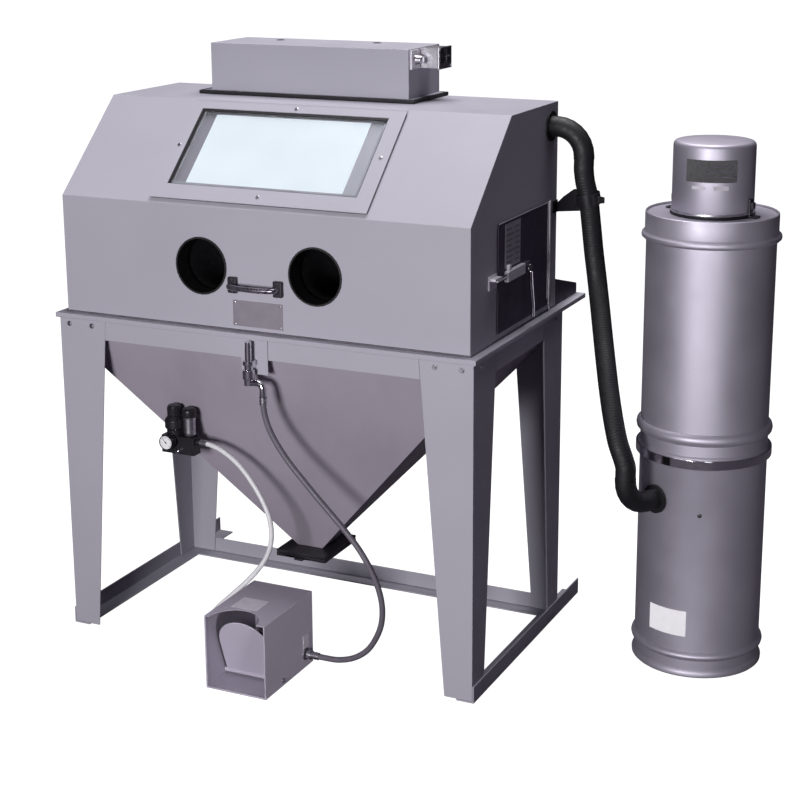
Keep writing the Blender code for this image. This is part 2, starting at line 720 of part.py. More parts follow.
def pedal_guard():
    """Sheet box, open at the front, with a round toe relief in its top."""
    (x0, x1), (y0, y1), top, s = PEDAL_X, PEDAL_Y, PEDAL_HEIGHT, 0.002
    guard = place("pedal_guard", block((x0, y0, 0), (x1, y1, top)), paint())
    cut(guard, block((x0 + s, y0 - 0.02, s), (x1 - s, y1 - s, top - s)))
    middle = (x0 + x1) / 2
    relief = turned([(0.062, top - 0.02), (0.062, top + 0.02)], (middle - 0.004, y0, 0), steps=36)
    cut(guard, relief)
    for x in (x0, x1):
        cut(
            guard,
            turned([(0.0105, -0.01), (0.0105, 0.01)], (x, FOOT_VALVE_Y, FOOT_VALVE_Z), (1, 0, 0), 20),
        )


FOOT_VALVE_Y = -0.002
FOOT_VALVE_Z = 0.034
TREADLE_LEAN = math.radians(20)
TREADLE_LENGTH = 0.162
TREADLE_HALF = 0.070


def pedal_treadle():
    """Round-topped plate that leans out of the guard and is pushed in about its bottom edge."""
    middle = sum(PEDAL_X) / 2
    pivot = Vector((middle, TREADLE_AXIS_Y, TREADLE_AXIS_Z))
    straight = TREADLE_LENGTH - TREADLE_HALF
    outline = [(-TREADLE_HALF, 0.0), (TREADLE_HALF, 0.0)]
    outline += [(p.x, p.y) for p in arc((0, straight, 0), (1, 0, 0), (0, 1, 0), TREADLE_HALF, 0, 180, 15)]
    lean = Matrix.Rotation(TREADLE_LEAN, 3, "X")
    loops = [[pivot + lean @ Vector((x, t, z)) for x, z in outline] for t in (-0.002, 0.002)]
    treadle = place("pedal_treadle", skin(loops), paint(), pivot)
    join(
        treadle,
        turned([(0.0055, -TREADLE_HALF - 0.007), (0.0055, TREADLE_HALF + 0.007)], pivot, (1, 0, 0), 14),
    )


def foot_valve():
    """Air valve inside the guard. Its two stubs come out through the side walls."""
    x0, x1 = PEDAL_X
    low = FOOT_VALVE_Z - 0.020
    valve = place(
        "foot_valve",
        block((0.005, FOOT_VALVE_Y - 0.018, low), (0.055, FOOT_VALVE_Y + 0.018, low + 0.04)), steel(),
    )
    join(valve, block((0.012, FOOT_VALVE_Y - 0.012, 0.0023), (0.048, FOOT_VALVE_Y + 0.012, low + 0.004)))
    stub = [(0.0085, x0 - 0.014), (0.0085, x1 + 0.004), (0.0115, x1 + 0.005), (0.0115, x1 + 0.0165)]
    join(valve, turned(stub, (0, FOOT_VALVE_Y, FOOT_VALVE_Z), (1, 0, 0), 16))


# ---------------------------------------------------------------- dust collector

PORT_Y = 0.485
PORT_Z = 1.2655
DUCT = DUST_HOSE_DIAMETER / 2
ELBOW_BEND = 0.068
ELBOW_CUFF = 0.006
INLET_OUT = Vector((math.cos(INLET_BEARING), math.sin(INLET_BEARING), 0.0))
INLET_CENTRE = Vector((DRUM_X, DRUM_Y, INLET_Z))
INLET_BEND = 0.064


def port_elbow():
    """Rubber elbow from the cabinet wall, turning down to the dust hose."""
    wall = CABINET_WIDTH / 2
    centre = (wall + 0.0161, PORT_Y, PORT_Z - ELBOW_BEND)
    route = [(wall - 0.012, PORT_Y, PORT_Z)]
    route += arc(centre, (0, 0, 1), (1, 0, 0), ELBOW_BEND, 0, 90, 8)
    route.append(route[-1] - Vector((0, 0, ELBOW_CUFF)))
    elbow = place("port_elbow", pipe(route, DUCT + 0.0006, DUCT - 0.002), black_rubber(), smooth=True)
    collar = turned(
        [(DUCT - 0.001, GAP), (0.036, GAP), (0.036, 0.004), (DUCT - 0.001, 0.004)],
        (wall, PORT_Y, PORT_Z), (1, 0, 0), 24, hollow=True,
    )
    join(elbow, collar)
    return route[-1]


def inlet_elbow():
    """Elbow on the lower drum's inlet, turning up to the dust hose."""
    start = INLET_CENTRE + INLET_OUT * (DRUM_RADIUS - 0.014)
    bend = INLET_CENTRE + INLET_OUT * (DRUM_RADIUS + 0.036)
    centre = bend + Vector((0, 0, INLET_BEND))
    route = [start] + arc(centre, (0, 0, -1), INLET_OUT, INLET_BEND, 0, 90, 8)
    route.append(route[-1] + Vector((0, 0, ELBOW_CUFF)))
    elbow = place("inlet_elbow", pipe(route, DUCT + 0.0006, DUCT - 0.002), black_rubber(), smooth=True)
    face = INLET_CENTRE + INLET_OUT * (DRUM_RADIUS + 0.0030)
    collar = turned(
        [(DUCT - 0.001, 0.0), (0.034, 0.0), (0.034, 0.006), (DUCT - 0.001, 0.006)], face, INLET_OUT, 24,
        hollow=True,
    )
    join(elbow, collar)
    return route[-1]


def drum_lower():
    r, s = DRUM_RADIUS, DRUM_SHEET
    outside = [
        (r + 0.004, 0.0), (r + 0.006, 0.004), (r + 0.006, 0.012), (r, 0.018), (r, 0.042),
        (r + 0.008, 0.047), (r + 0.008, 0.056), (r, 0.062), (r, 0.514), (r + 0.004, 0.518),
        (r + 0.004, DRUM_SEAM - GAP),
    ]
    inside = [(r - s, DRUM_SEAM - GAP), (r - s, 0.004)]
    profile = outside + inside
    base = Vector((DRUM_X, DRUM_Y, 0))
    side, other = Vector((1, 0, 0)), Vector((0, 1, 0))
    loops = [circle(radius, 48, base + Vector((0, 0, z)), side, other) for radius, z in profile]
    drum = place("drum_lower", skin(loops), paint(), smooth=True)
    bore = turned(
        [(DUCT + 0.0010, -0.05), (DUCT + 0.0010, 0.05)], INLET_CENTRE + INLET_OUT * DRUM_RADIUS,
        INLET_OUT, 28,
    )
    cut(drum, bore)


def drum_upper():
    r, s, z = DRUM_RADIUS, DRUM_SHEET, DRUM_SEAM + GAP
    outside = [
        (r + 0.004, z), (r + 0.004, z + 0.011), (r, z + 0.015), (r, 0.572), (r + 0.010, 0.578),
        (r + 0.010, 0.592), (r, 0.598), (r, 1.060),
    ]
    inside = [(r - s, 1.060), (r - s, 0.598), (r - s, z)]
    place(
        "drum_upper", turned(outside + inside, (DRUM_X, DRUM_Y, 0), steps=48, hollow=True), paint(),
        smooth=True,
    )


RING_GAP = math.radians(7)
RING_LEVER_AT = math.radians(52)


def clamp_ring():
    """Channel-section lever ring that pulls the two drums together, open at its lever."""
    r, z = DRUM_RADIUS, DRUM_SEAM
    section = [
        (r + 0.0046, z - 0.0105), (r + 0.0100, z - 0.0105), (r + 0.0100, z + 0.0110),
        (r + 0.0046, z + 0.0110),
    ]
    steps = 48
    loops = []
    for k in range(steps + 1):
        turn = RING_LEVER_AT + RING_GAP / 2 + (2 * math.pi - RING_GAP) * k / steps
        way = Vector((math.cos(turn), math.sin(turn), 0))
        loops.append([Vector((DRUM_X, DRUM_Y, height)) + way * radius for radius, height in section])
    place("clamp_ring", skin(loops), chrome(), smooth=True)


def ring_lever():
    """Curved over-centre lever that lies along the clamp ring."""
    r, z = DRUM_RADIUS + 0.0105, DRUM_SEAM
    bar = ((r, z - 0.006), (r + 0.005, z - 0.006), (r + 0.005, z + 0.006), (r, z + 0.006))
    loops = []
    first = RING_LEVER_AT
    for k in range(13):
        turn = first + math.radians(34) * k / 12
        way = Vector((math.cos(turn), math.sin(turn), 0))
        loops.append([Vector((DRUM_X, DRUM_Y, height)) + way * radius
                      for radius, height in bar])
    way = Vector((math.cos(first), math.sin(first), 0))
    pivot = Vector((DRUM_X, DRUM_Y, z)) + way * (r + 0.004)
    lever = place("ring_lever", skin(loops), chrome(), pivot)
    join(lever, turned([(0.0045, z - 0.010), (0.0045, z + 0.010)], (pivot.x, pivot.y, 0), steps=14))


def drum_lid():
    r = DRUM_RADIUS
    rim = r + 0.0035
    profile = [
        (r + GAP, 1.030), (r + 0.011, 1.033), (r + 0.011, 1.043), (rim, 1.048), (rim, 1.091),
        (rim - 0.003, 1.093), (rim - 0.005, 1.0875), (0.060, 1.0875), (0.060, 1.0860), (r + GAP, 1.0860),
    ]
    place("drum_lid", turned(profile, (DRUM_X, DRUM_Y, 0), steps=48, hollow=True), paint(), smooth=True)


def vacuum_head():
    gasket = [(0.062, 1.0878), (0.097, 1.0878), (0.097, 1.0930), (0.062, 1.0930)]
    place(
        "head_gasket", turned(gasket, (DRUM_X, DRUM_Y, 0), steps=40, hollow=True), black_rubber(),
        smooth=True,
    )
    dome = [
        (0.0935, 1.0933), (0.0935, 1.2460), (0.0915, 1.2525), (0.0860, 1.2560), (0.0450, 1.2598),
        (0.0150, 1.2615),
    ]
    place("vacuum_head", turned(dome, (DRUM_X, DRUM_Y, 0), steps=40), steel(), smooth=True)


def filter_cartridge():
    profile = [(0.068, 0.640), (0.100, 0.640), (0.100, 1.0857), (0.068, 1.0857)]
    place(
        "filter_cartridge", turned(profile, (DRUM_X, DRUM_Y, 0), steps=32, hollow=True), light_plastic(),
        smooth=True,
    )


# ---------------------------------------------------------------- hoses

def smooth_route(points, spacing):
    """Points at even spacing along a Catmull-Rom curve through the route's own points."""
    points = [Vector(p) for p in points]
    padded = [2 * points[0] - points[1]] + points + [2 * points[-1] - points[-2]]
    fine = []
    for a, b, c, d in zip(padded, padded[1:], padded[2:], padded[3:]):
        for k in range(24):
            t = k / 24
            fine.append(
                0.5 * (2 * b + (c - a) * t + (2 * a - 5 * b + 4 * c - d) * t * t
                       + (3 * b - a - 3 * c + d) * t ** 3),
            )
    fine.append(points[-1])
    lengths = [0.0]
    for a, b in zip(fine, fine[1:]):
        lengths.append(lengths[-1] + (b - a).length)
    count = max(2, round(lengths[-1] / spacing))
    even, k = [], 0
    for n in range(count + 1):
        want = lengths[-1] * n / count
        while k < len(fine) - 2 and lengths[k + 1] < want:
            k += 1
        share = (want - lengths[k]) / max(lengths[k + 1] - lengths[k], 1e-9)
        even.append(fine[k].lerp(fine[k + 1], min(1.0, share)))
    return even


def hose(name, route, diameter, spacing, mat, resolution=3):
    curve = bpy.data.curves.new(name, "CURVE")
    curve.dimensions = "3D"
    curve.bevel_depth = diameter / 2
    curve.bevel_resolution = resolution
    curve.use_fill_caps = True
    spline = curve.splines.new("POLY")
    points = smooth_route(route, spacing)
    spline.points.add(len(points) - 1)
    for knot, point in zip(spline.points, points):
        knot.co = (*point, 1.0)
    curve.materials.append(mat)
    obj = bpy.data.objects.new(name, curve)
    bpy.context.scene.collection.objects.link(obj)


DUST_ROUTE = [
    (0.6175, 0.4850, 1.1912), (0.6175, 0.4850, 1.1800), (0.6175, 0.4850, 1.1665), (0.6205, 0.4872, 1.1380),
    (0.6275, 0.4932, 1.0999), (0.6345, 0.4978, 1.0346), (0.6417, 0.5000, 0.9688), (0.6535, 0.4925, 0.9062),
    (0.6680, 0.4705, 0.8591), (0.6860, 0.4385, 0.8110), (0.7045, 0.4048, 0.7636), (0.7244, 0.3674, 0.7191),
    (0.7438, 0.3325, 0.6750), (0.7665, 0.2955, 0.6260), (0.7875, 0.2692, 0.5790), (0.8045, 0.2587, 0.5450),
    (0.8122, 0.2566, 0.5240), (0.8129, 0.2564, 0.5110), (0.8129, 0.2564, 0.4973),
]

GREY_ROUTE = [
    (0.031, -0.038, 0.6765), (0.031, -0.038, 0.656), (0.034, -0.037, 0.630), (0.045, -0.035, 0.596),
    (0.064, -0.032, 0.560), (0.090, -0.029, 0.523), (0.124, -0.027, 0.485), (0.162, -0.026, 0.445),
    (0.199, -0.025, 0.408), (0.234, -0.024, 0.372), (0.266, -0.023, 0.335), (0.292, -0.022, 0.295),
    (0.312, -0.020, 0.250), (0.322, -0.018, 0.205), (0.320, -0.016, 0.160), (0.306, -0.014, 0.120),
    (0.280, -0.011, 0.080), (0.243, -0.008, 0.052), (0.200, -0.005, 0.037), (0.160, -0.003, 0.034),
    (0.1268, -0.0020, 0.0340),
]

WHITE_ROUTE = [
    (-0.1965, 0.046, 0.510), (-0.185, 0.046, 0.510), (-0.155, 0.044, 0.506), (-0.120, 0.041, 0.493),
    (-0.082, 0.037, 0.469), (-0.048, 0.033, 0.435), (-0.018, 0.029, 0.395), (0.004, 0.025, 0.350),
    (0.010, 0.020, 0.303), (0.000, 0.014, 0.260), (-0.025, 0.006, 0.220), (-0.058, -0.005, 0.182),
    (-0.088, -0.017, 0.152), (-0.117, -0.025, 0.123), (-0.136, -0.028, 0.097), (-0.141, -0.026, 0.072),
    (-0.132, -0.019, 0.051), (-0.115, -0.010, 0.038), (-0.0930, -0.0035, 0.0342), (-0.0780, -0.0020, 0.0340),
    (-0.0643, -0.0020, 0.0340),
]


def hoses():
    grey = material("grey_hose", (0.22, 0.21, 0.24), 0.5)
    hose("dust_hose", DUST_ROUTE, DUST_HOSE_DIAMETER, DUST_SPACING, black_rubber(), 4)
    hose("grey_air_hose", GREY_ROUTE, GREY_HOSE_DIAMETER, 0.022, grey, 2)
    hose("white_air_hose", WHITE_ROUTE, WHITE_HOSE_DIAMETER, 0.020, light_plastic(), 2)


CLAMP_WALL = Vector((CABINET_WIDTH / 2 + GAP, 0.521, 0.0))


def upright_plate(start, way, outline, thickness=0.005):
    """An upright plate along way. outline is (reach from start, height) points."""
    across = Vector((-way.y, way.x, 0.0)) * thickness / 2
    middle = [Vector((start.x, start.y, z)) + way * reach for reach, z in outline]
    return skin([[p - across for p in middle], [p + across for p in middle]])


def hose_clamp():
    """Saddle bracket: a ring round the dust hose, an ear, and a wedge arm back to the cabinet."""
    points = smooth_route(DUST_ROUTE, DUST_SPACING)
    centre = points[4]
    way = (points[3] - points[5]).normalized()
    near, far = DUCT + 0.0024, DUCT + 0.0049
    ring = [(near, -0.014), (far, -0.014), (far, 0.014), (near, 0.014)]
    ring_shape = turned(ring, centre, way, 28, hollow=True)
    clamp = place("hose_clamp", ring_shape, black_plastic(), smooth=True)
    arm_way = Vector((centre.x - CLAMP_WALL.x, centre.y - CLAMP_WALL.y, 0.0))
    length = arm_way.length
    arm_way.normalize()
    lean = way.dot(arm_way) / way.z

    def edge(height, side):
        return length + lean * height + side * (DUCT + 0.0040)

    base = centre.z
    arm = [(0.002, base - 0.042), (edge(-0.032, -1), base - 0.032), (edge(-0.013, -1), base - 0.013)]
    arm += [(edge(0.0, -1), base), (edge(0.020, -1) - 0.001, base + 0.020)]
    arm += [(edge(0.020, -1) - 0.012, base + 0.019)]
    arm += [(0.026, base - 0.002), (0.002, base - 0.024)]
    join(clamp, upright_plate(CLAMP_WALL, arm_way, arm))
    join(clamp, block((CLAMP_WALL.x, 0.504, base - 0.044), (CLAMP_WALL.x + 0.003, 0.5325, base - 0.014)))
    ear = [(edge(-0.008, 1), base - 0.008), (edge(-0.008, 1) + 0.016, base - 0.006)]
    ear += [(edge(-0.008, 1) + 0.016, base + 0.008), (edge(0.010, 1), base + 0.010)]
    join(clamp, upright_plate(CLAMP_WALL, arm_way, ear))


# ---------------------------------------------------------------- assembly

def build():
    clear_scene()
    cabinet_shell()
    base_flange()
    rear_air_box()
    window()
    light_fixture()
    light_switch()
    for side, x in zip(("left", "right"), ARM_HOLES_X):
        arm_ring(side, x)
        glove(side, x)
    front_handle()
    side_door()
    door_latch()
    for depth, side_y in (("front", -1), ("rear", 1)):
        for side, side_x in (("left", -1), ("right", 1)):
            leg(f"leg_{depth}_{side}", side_x, side_y)
    aprons()
    rails()
    hopper()
    hopper_outlet()
    work_grate()
    filter_regulator()
    air_valve()
    blast_gun()
    pedal_guard()
    pedal_treadle()
    foot_valve()
    port_elbow()
    inlet_elbow()
    drum_lower()
    drum_upper()
    clamp_ring()
    ring_lever()
    drum_lid()
    vacuum_head()
    filter_cartridge()
    hoses()
    hose_clamp()
    assembly = bpy.data.objects.new("assembly", None)
    bpy.context.scene.collection.objects.link(assembly)
    for obj in list(bpy.context.scene.collection.objects):
        if obj is not assembly:
            obj.parent = assembly
    assembly.location = -ORIGIN


build()
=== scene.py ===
"""Looks of the sandblast cabinet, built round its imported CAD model.

Layout coordinates: x from the cabinet's centre, y from its front wall, z from the floor. OFFSET
moves them into the model's frame.
"""

import json
import math

import bmesh
import bpy
from mathutils import Matrix, Vector, noise

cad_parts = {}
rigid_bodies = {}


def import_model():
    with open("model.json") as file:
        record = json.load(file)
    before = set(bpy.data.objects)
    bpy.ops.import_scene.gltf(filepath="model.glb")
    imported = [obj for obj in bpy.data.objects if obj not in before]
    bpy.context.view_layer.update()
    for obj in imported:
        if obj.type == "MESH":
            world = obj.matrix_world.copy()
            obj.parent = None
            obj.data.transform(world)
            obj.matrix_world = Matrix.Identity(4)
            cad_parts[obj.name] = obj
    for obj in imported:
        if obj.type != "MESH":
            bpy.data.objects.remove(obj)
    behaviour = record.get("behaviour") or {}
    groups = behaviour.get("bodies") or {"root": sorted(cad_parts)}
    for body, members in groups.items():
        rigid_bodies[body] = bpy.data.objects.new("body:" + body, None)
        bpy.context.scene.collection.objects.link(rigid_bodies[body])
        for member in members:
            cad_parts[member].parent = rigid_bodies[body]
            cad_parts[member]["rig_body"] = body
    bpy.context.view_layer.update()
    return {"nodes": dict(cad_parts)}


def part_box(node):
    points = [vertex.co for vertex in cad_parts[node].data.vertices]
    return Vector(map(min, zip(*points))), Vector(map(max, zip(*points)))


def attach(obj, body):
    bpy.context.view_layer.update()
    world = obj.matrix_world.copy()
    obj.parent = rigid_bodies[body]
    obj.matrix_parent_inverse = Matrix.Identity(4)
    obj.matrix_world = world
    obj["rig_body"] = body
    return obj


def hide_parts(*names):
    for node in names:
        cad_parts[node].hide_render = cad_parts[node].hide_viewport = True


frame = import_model()
NODES = frame["nodes"]

SHELL_LOW, SHELL_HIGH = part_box("cabinet_shell")
OFFSET = Vector(((SHELL_LOW.x + SHELL_HIGH.x) / 2, SHELL_LOW.y, 0.0))
HALF_WIDTH = (SHELL_HIGH.x - SHELL_LOW.x) / 2


# ---------------------------------------------------------------- camera

def camera():
    yaw, pitch, roll = 0.44231, -0.24417, -0.00562
    forward = Vector((-math.sin(yaw) * math.cos(pitch), math.cos(yaw) * math.cos(pitch), math.sin(pitch)))
    right = forward.cross(Vector((0, 0, 1))).normalized()
    up = right.cross(forward)
    across = right * math.cos(roll) + up * math.sin(roll)
    above = up * math.cos(roll) - right * math.sin(roll)
    data = bpy.data.cameras.new("camera")
    data.sensor_width = 36.0
    data.lens = 77.486
    data.shift_y = -0.1
    data.clip_start = 0.05
    data.clip_end = 60.0
    obj = bpy.data.objects.new("camera", data)
    bpy.context.scene.collection.objects.link(obj)
    place = Vector((1.95102, -3.35119, 1.80826)) + OFFSET
    obj.matrix_world = Matrix.Translation(place) @ Matrix((across, above, -forward)).transposed().to_4x4()
    bpy.context.scene.camera = obj


camera()


# ---------------------------------------------------------------- materials

MADE = {}


def link(tree, a, b):
    tree.links.new(a, b)


def noise_node(tree, coords, scale, detail=3.0, stretch=None, roughness=0.55):
    node = tree.nodes.new("ShaderNodeTexNoise")
    node.inputs["Scale"].default_value = scale
    node.inputs["Detail"].default_value = detail
    node.inputs["Roughness"].default_value = roughness
    source = coords
    if stretch:
        mapping = tree.nodes.new("ShaderNodeMapping")
        mapping.inputs["Scale"].default_value = stretch
        link(tree, coords, mapping.inputs["Vector"])
        source = mapping.outputs["Vector"]
    link(tree, source, node.inputs["Vector"])
    return node.outputs["Fac"]


def ramp(tree, value, low, high, colour_a, colour_b):
    node = tree.nodes.new("ShaderNodeValToRGB")
    node.color_ramp.elements[0].position = low
    node.color_ramp.elements[0].color = (*colour_a, 1.0)
    node.color_ramp.elements[1].position = high
    node.color_ramp.elements[1].color = (*colour_b, 1.0)
    link(tree, value, node.inputs["Fac"])
    return node.outputs["Color"]


def remap(tree, value, to_low, to_high, low=0.3, high=0.7):
    node = tree.nodes.new("ShaderNodeMapRange")
    node.inputs["From Min"].default_value = low
    node.inputs["From Max"].default_value = high
    node.inputs["To Min"].default_value = to_low
    node.inputs["To Max"].default_value = to_high
    link(tree, value, node.inputs["Value"])
    return node.outputs["Result"]


def mixed(tree, factor, a, b, kind="MIX"):
    node = tree.nodes.new("ShaderNodeMix")
    node.data_type = "RGBA"
    node.blend_type = kind
    if isinstance(factor, float):
        node.inputs["Factor"].default_value = factor
    else:
        link(tree, factor, node.inputs["Factor"])
    for socket, value in ((node.inputs["A"], a), (node.inputs["B"], b)):
        if isinstance(value, tuple):
            socket.default_value = (*value, 1.0)
        else:
            link(tree, value, socket)
    return node.outputs["Result"]


def shade(colour, factor):
    return tuple(min(1.0, c * factor) for c in colour)


def surface(
    name, colour, rough=(0.35, 0.5), metallic=0.0, vary=0.06, patch=3.0, grain=900.0, grain_depth=0.00003,
    dent=0.0, stretch=None, specks=0.0, coat=0.0, specular=0.5, grime=0.0,
):
    """A worn real surface: soft tone patches, small specks, uneven gloss, fine grain and shallow waves."""
    if name in MADE:
        return MADE[name]
    made = bpy.data.materials.new(name)
    made.use_nodes = True
    tree = made.node_tree
    shader = tree.nodes["Principled BSDF"]
    coords = tree.nodes.new("ShaderNodeTexCoord").outputs["Object"]
    patches = noise_node(tree, coords, patch, 4.0)
    tone = ramp(tree, patches, 0.3, 0.7, shade(colour, 1 - vary), shade(colour, 1 + vary))
    if specks:
        dots = noise_node(tree, coords, 260.0, 2.0)
        tone = mixed(tree, remap(tree, dots, 0.0, specks, 0.66, 0.74), tone, shade(colour, 0.45))
    if grime:
        smear = noise_node(tree, coords, 9.0, 6.0, (1.0, 1.0, 0.35))
        tone = mixed(tree, remap(tree, smear, 0.0, grime, 0.5, 0.75), tone, shade(colour, 0.72))
    link(tree, tone, shader.inputs["Base Color"])
    gloss = noise_node(tree, coords, patch * 6, 5.0, stretch)
    link(tree, remap(tree, gloss, rough[0], rough[1]), shader.inputs["Roughness"])
    shader.inputs["Metallic"].default_value = metallic
    shader.inputs["Specular IOR Level"].default_value = specular
    if coat:
        shader.inputs["Coat Weight"].default_value = coat
        shader.inputs["Coat Roughness"].default_value = 0.25
    fine = noise_node(tree, coords, grain, 2.0, stretch)
    bump = tree.nodes.new("ShaderNodeBump")
    bump.inputs["Strength"].default_value = 0.6
    bump.inputs["Distance"].default_value = grain_depth
    link(tree, fine, bump.inputs["Height"])
    normal = bump.outputs["Normal"]
    if dent:
        wave = noise_node(tree, coords, 5.0, 1.0)
        broad = tree.nodes.new("ShaderNodeBump")
        broad.inputs["Strength"].default_value = 0.5
        broad.inputs["Distance"].default_value = dent
        link(tree, wave, broad.inputs["Height"])
        link(tree, normal, broad.inputs["Normal"])
        normal = broad.outputs["Normal"]
    link(tree, normal, shader.inputs["Normal"])
    MADE[name] = made
    return made


def glow(name, colour, strength, vary=0.05, patch=4.0):
    """A lit panel: soft uneven white with a faint base."""
    if name in MADE:
        return MADE[name]
    made = surface(name, shade(colour, 0.3), rough=(0.5, 0.6), vary=vary, patch=patch)
    tree = made.node_tree
    shader = tree.nodes["Principled BSDF"]
    coords = tree.nodes.new("ShaderNodeTexCoord").outputs["Object"]
    tone = ramp(tree, noise_node(tree, coords, patch, 2.0), 0.25, 0.75, shade(colour, 1 - vary), colour)
    link(tree, tone, shader.inputs["Emission Color"])
    shader.inputs["Emission Strength"].default_value = strength
    return made


def clear_glass():
    if "clear_glass" in MADE:
        return MADE["clear_glass"]
    made = surface("clear_glass", (0.93, 0.96, 0.97), rough=(0.01, 0.05), vary=0.02, grain=40.0,
                   grain_depth=0.000004)
    shader = made.node_tree.nodes["Principled BSDF"]
    shader.inputs["Transmission Weight"].default_value = 0.96
    shader.inputs["IOR"].default_value = 1.05
    MADE["clear_glass"] = made
    return made


def paint():
    return surface("cabinet_paint", (0.415, 0.405, 0.465), rough=(0.42, 0.55), vary=0.035, patch=2.2,
                   grain=700.0, grain_depth=0.00006, dent=0.0006, specks=0.12, specular=0.3)


# Painted shade: the cabinet's paint darkened almost to black for the shaded side door and rear air box.
def door_paint():
    return surface("door_paint", (0.060, 0.048, 0.078), rough=(0.45, 0.6), vary=0.12, patch=5.0,
                   grain=700.0, grain_depth=0.00006, specks=0.2, specular=0.2)


def pedal_paint():
    return surface("pedal_paint", (0.42, 0.39, 0.47), rough=(0.45, 0.6), vary=0.08, patch=3.0, grain=700.0,
                   grain_depth=0.00006, specks=0.12, specular=0.2)


# Painted shade: the cabinet's paint made darker for the hopper's shaded faces, with random grime smears on
# top.
def hopper_shade_paint():
    return surface("hopper_coat", (0.35, 0.315, 0.375), rough=(0.42, 0.58), vary=0.07, patch=2.6,
                   grain=700.0, grain_depth=0.00006, dent=0.0012, specks=0.2, specular=0.3, grime=0.35)


def drum_paint():
    return surface("drum_paint", (0.42, 0.40, 0.47), rough=(0.48, 0.58), metallic=0.75, vary=0.04,
                   patch=1.8, grain=700.0, grain_depth=0.00004, specks=0.1, specular=0.4)


def dark_paint():
    return surface("dark_paint", (0.022, 0.020, 0.027), rough=(0.35, 0.5), vary=0.2, grain=700.0,
                   grain_depth=0.00006)


def zinc():
    return surface("zinc_plate", (0.55, 0.54, 0.58), rough=(0.25, 0.42), metallic=1.0, vary=0.12,
                   patch=30.0, grain=420.0, grain_depth=0.00002, stretch=(1.0, 1.0, 6.0))


def chrome():
    return surface("bright_chrome", (0.72, 0.71, 0.75), rough=(0.08, 0.18), metallic=1.0, vary=0.06,
                   patch=12.0, grain=300.0, grain_depth=0.000008)


def handle_steel():
    return surface("mottled_handle", (0.30, 0.28, 0.33), rough=(0.12, 0.35), metallic=0.9, vary=0.55,
                   patch=34.0, grain=300.0, grain_depth=0.00003)


def rubber():
    return surface("black_rubber_skin", (0.006, 0.0055, 0.0075), rough=(0.5, 0.7), vary=0.25, patch=14.0,
                   grain=520.0, grain_depth=0.00012)


def black_plastic():
    return surface("black_moulding", (0.014, 0.013, 0.017), rough=(0.28, 0.42), vary=0.2, patch=30.0,
                   grain=900.0, grain_depth=0.00005)


def white_hose_skin():
    return surface("white_hose_skin", (0.78, 0.78, 0.80), rough=(0.3, 0.45), vary=0.06, patch=40.0,
                   grain=300.0, grain_depth=0.00008)


def grey_hose_skin():
    return surface("grey_hose_skin", (0.135, 0.122, 0.152), rough=(0.4, 0.55), vary=0.1, patch=40.0,
                   grain=450.0, grain_depth=0.0001)


def plate_metal():
    return surface("label_metal", (0.62, 0.60, 0.66), rough=(0.3, 0.45), metallic=0.15, vary=0.08,
                   patch=25.0, grain=600.0, grain_depth=0.00002, stretch=(12.0, 1.0, 1.0))


# ---------------------------------------------------------------- shape tools

def add(name, shape, mat, body="cabinet", smooth=None, bevel=0.0, segments=2, replaces=()):
    """Makes a piece from a bmesh in layout coordinates and lets it ride on a body."""
    bmesh.ops.recalc_face_normals(shape, faces=shape.faces)
    mesh = bpy.data.meshes.new(name)
    shape.to_mesh(mesh)
    shape.free()
    obj = bpy.data.objects.new(name, mesh)
    obj.location = OFFSET
    bpy.context.scene.collection.objects.link(obj)
    return dress(obj, mat, body, smooth, bevel, segments, replaces)


def dress(obj, mat, body, smooth, bevel, segments, replaces):
    obj.data.materials.clear()
    obj.data.materials.append(mat)
    obj.data.shade_smooth()
    obj.data.set_sharp_from_angle(angle=math.radians(smooth or 30))
    if bevel:
        modifier = obj.modifiers.new("edges", "BEVEL")
        modifier.width = bevel
        modifier.segments = segments
        modifier.limit_method = "ANGLE"
        modifier.angle_limit = math.radians(28)
        modifier.use_clamp_overlap = False
        modifier.harden_normals = False
        obj.data.set_sharp_from_angle(angle=math.radians(180))
        flat = obj.modifiers.new("flats", "WEIGHTED_NORMAL")
        flat.keep_sharp = True
        flat.weight = 80
    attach(obj, body)
    if replaces:
        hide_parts(*replaces)
    return obj


def refined(node, mat, bevel=0.0015, segments=2, smooth=None):
    """The CAD node's own shape with its edges rounded, in place of the node."""
    source = NODES[node]
    shape = bmesh.new()
    shape.from_mesh(source.data)
    bmesh.ops.remove_doubles(shape, verts=shape.verts, dist=1e-5)
    bmesh.ops.dissolve_limit(shape, angle_limit=math.radians(0.6), verts=shape.verts, edges=shape.edges)
    bmesh.ops.recalc_face_normals(shape, faces=shape.faces)
    mesh = bpy.data.meshes.new(node + "_finish")
    shape.to_mesh(mesh)
    shape.free()
    obj = bpy.data.objects.new(node + "_finish", mesh)
    bpy.context.scene.collection.objects.link(obj)
    body = source["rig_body"]
    return dress(obj, mat, body, smooth, bevel, segments, (node,))


def skin(loops, ring=False, caps=True):
    shape = bmesh.new()
    rows = [[shape.verts.new(p) for p in loop] for loop in loops]
    count = len(rows[0])
    pairs = list(zip(rows, rows[1:]))
    if ring:
        pairs.append((rows[-1], rows[0]))
    for low, high in pairs:
        for i in range(count):
            j = (i + 1) % count
            shape.faces.new((low[i], low[j], high[j], high[i]))
    if caps and not ring:
        shape.faces.new(rows[0])
        shape.faces.new(rows[-1])
    return shape


def block(low, high):
    (x0, y0, z0), (x1, y1, z1) = low, high
    corners = ((x0, y0), (x1, y0), (x1, y1), (x0, y1))
    return skin([[(x, y, z) for x, y in corners] for z in (z0, z1)])


def circle(radius, steps, centre, u, v):
    centre, u, v = Vector(centre), Vector(u), Vector(v)
    turns = [2 * math.pi * k / steps for k in range(steps)]
    return [centre + radius * (math.cos(t) * u + math.sin(t) * v) for t in turns]


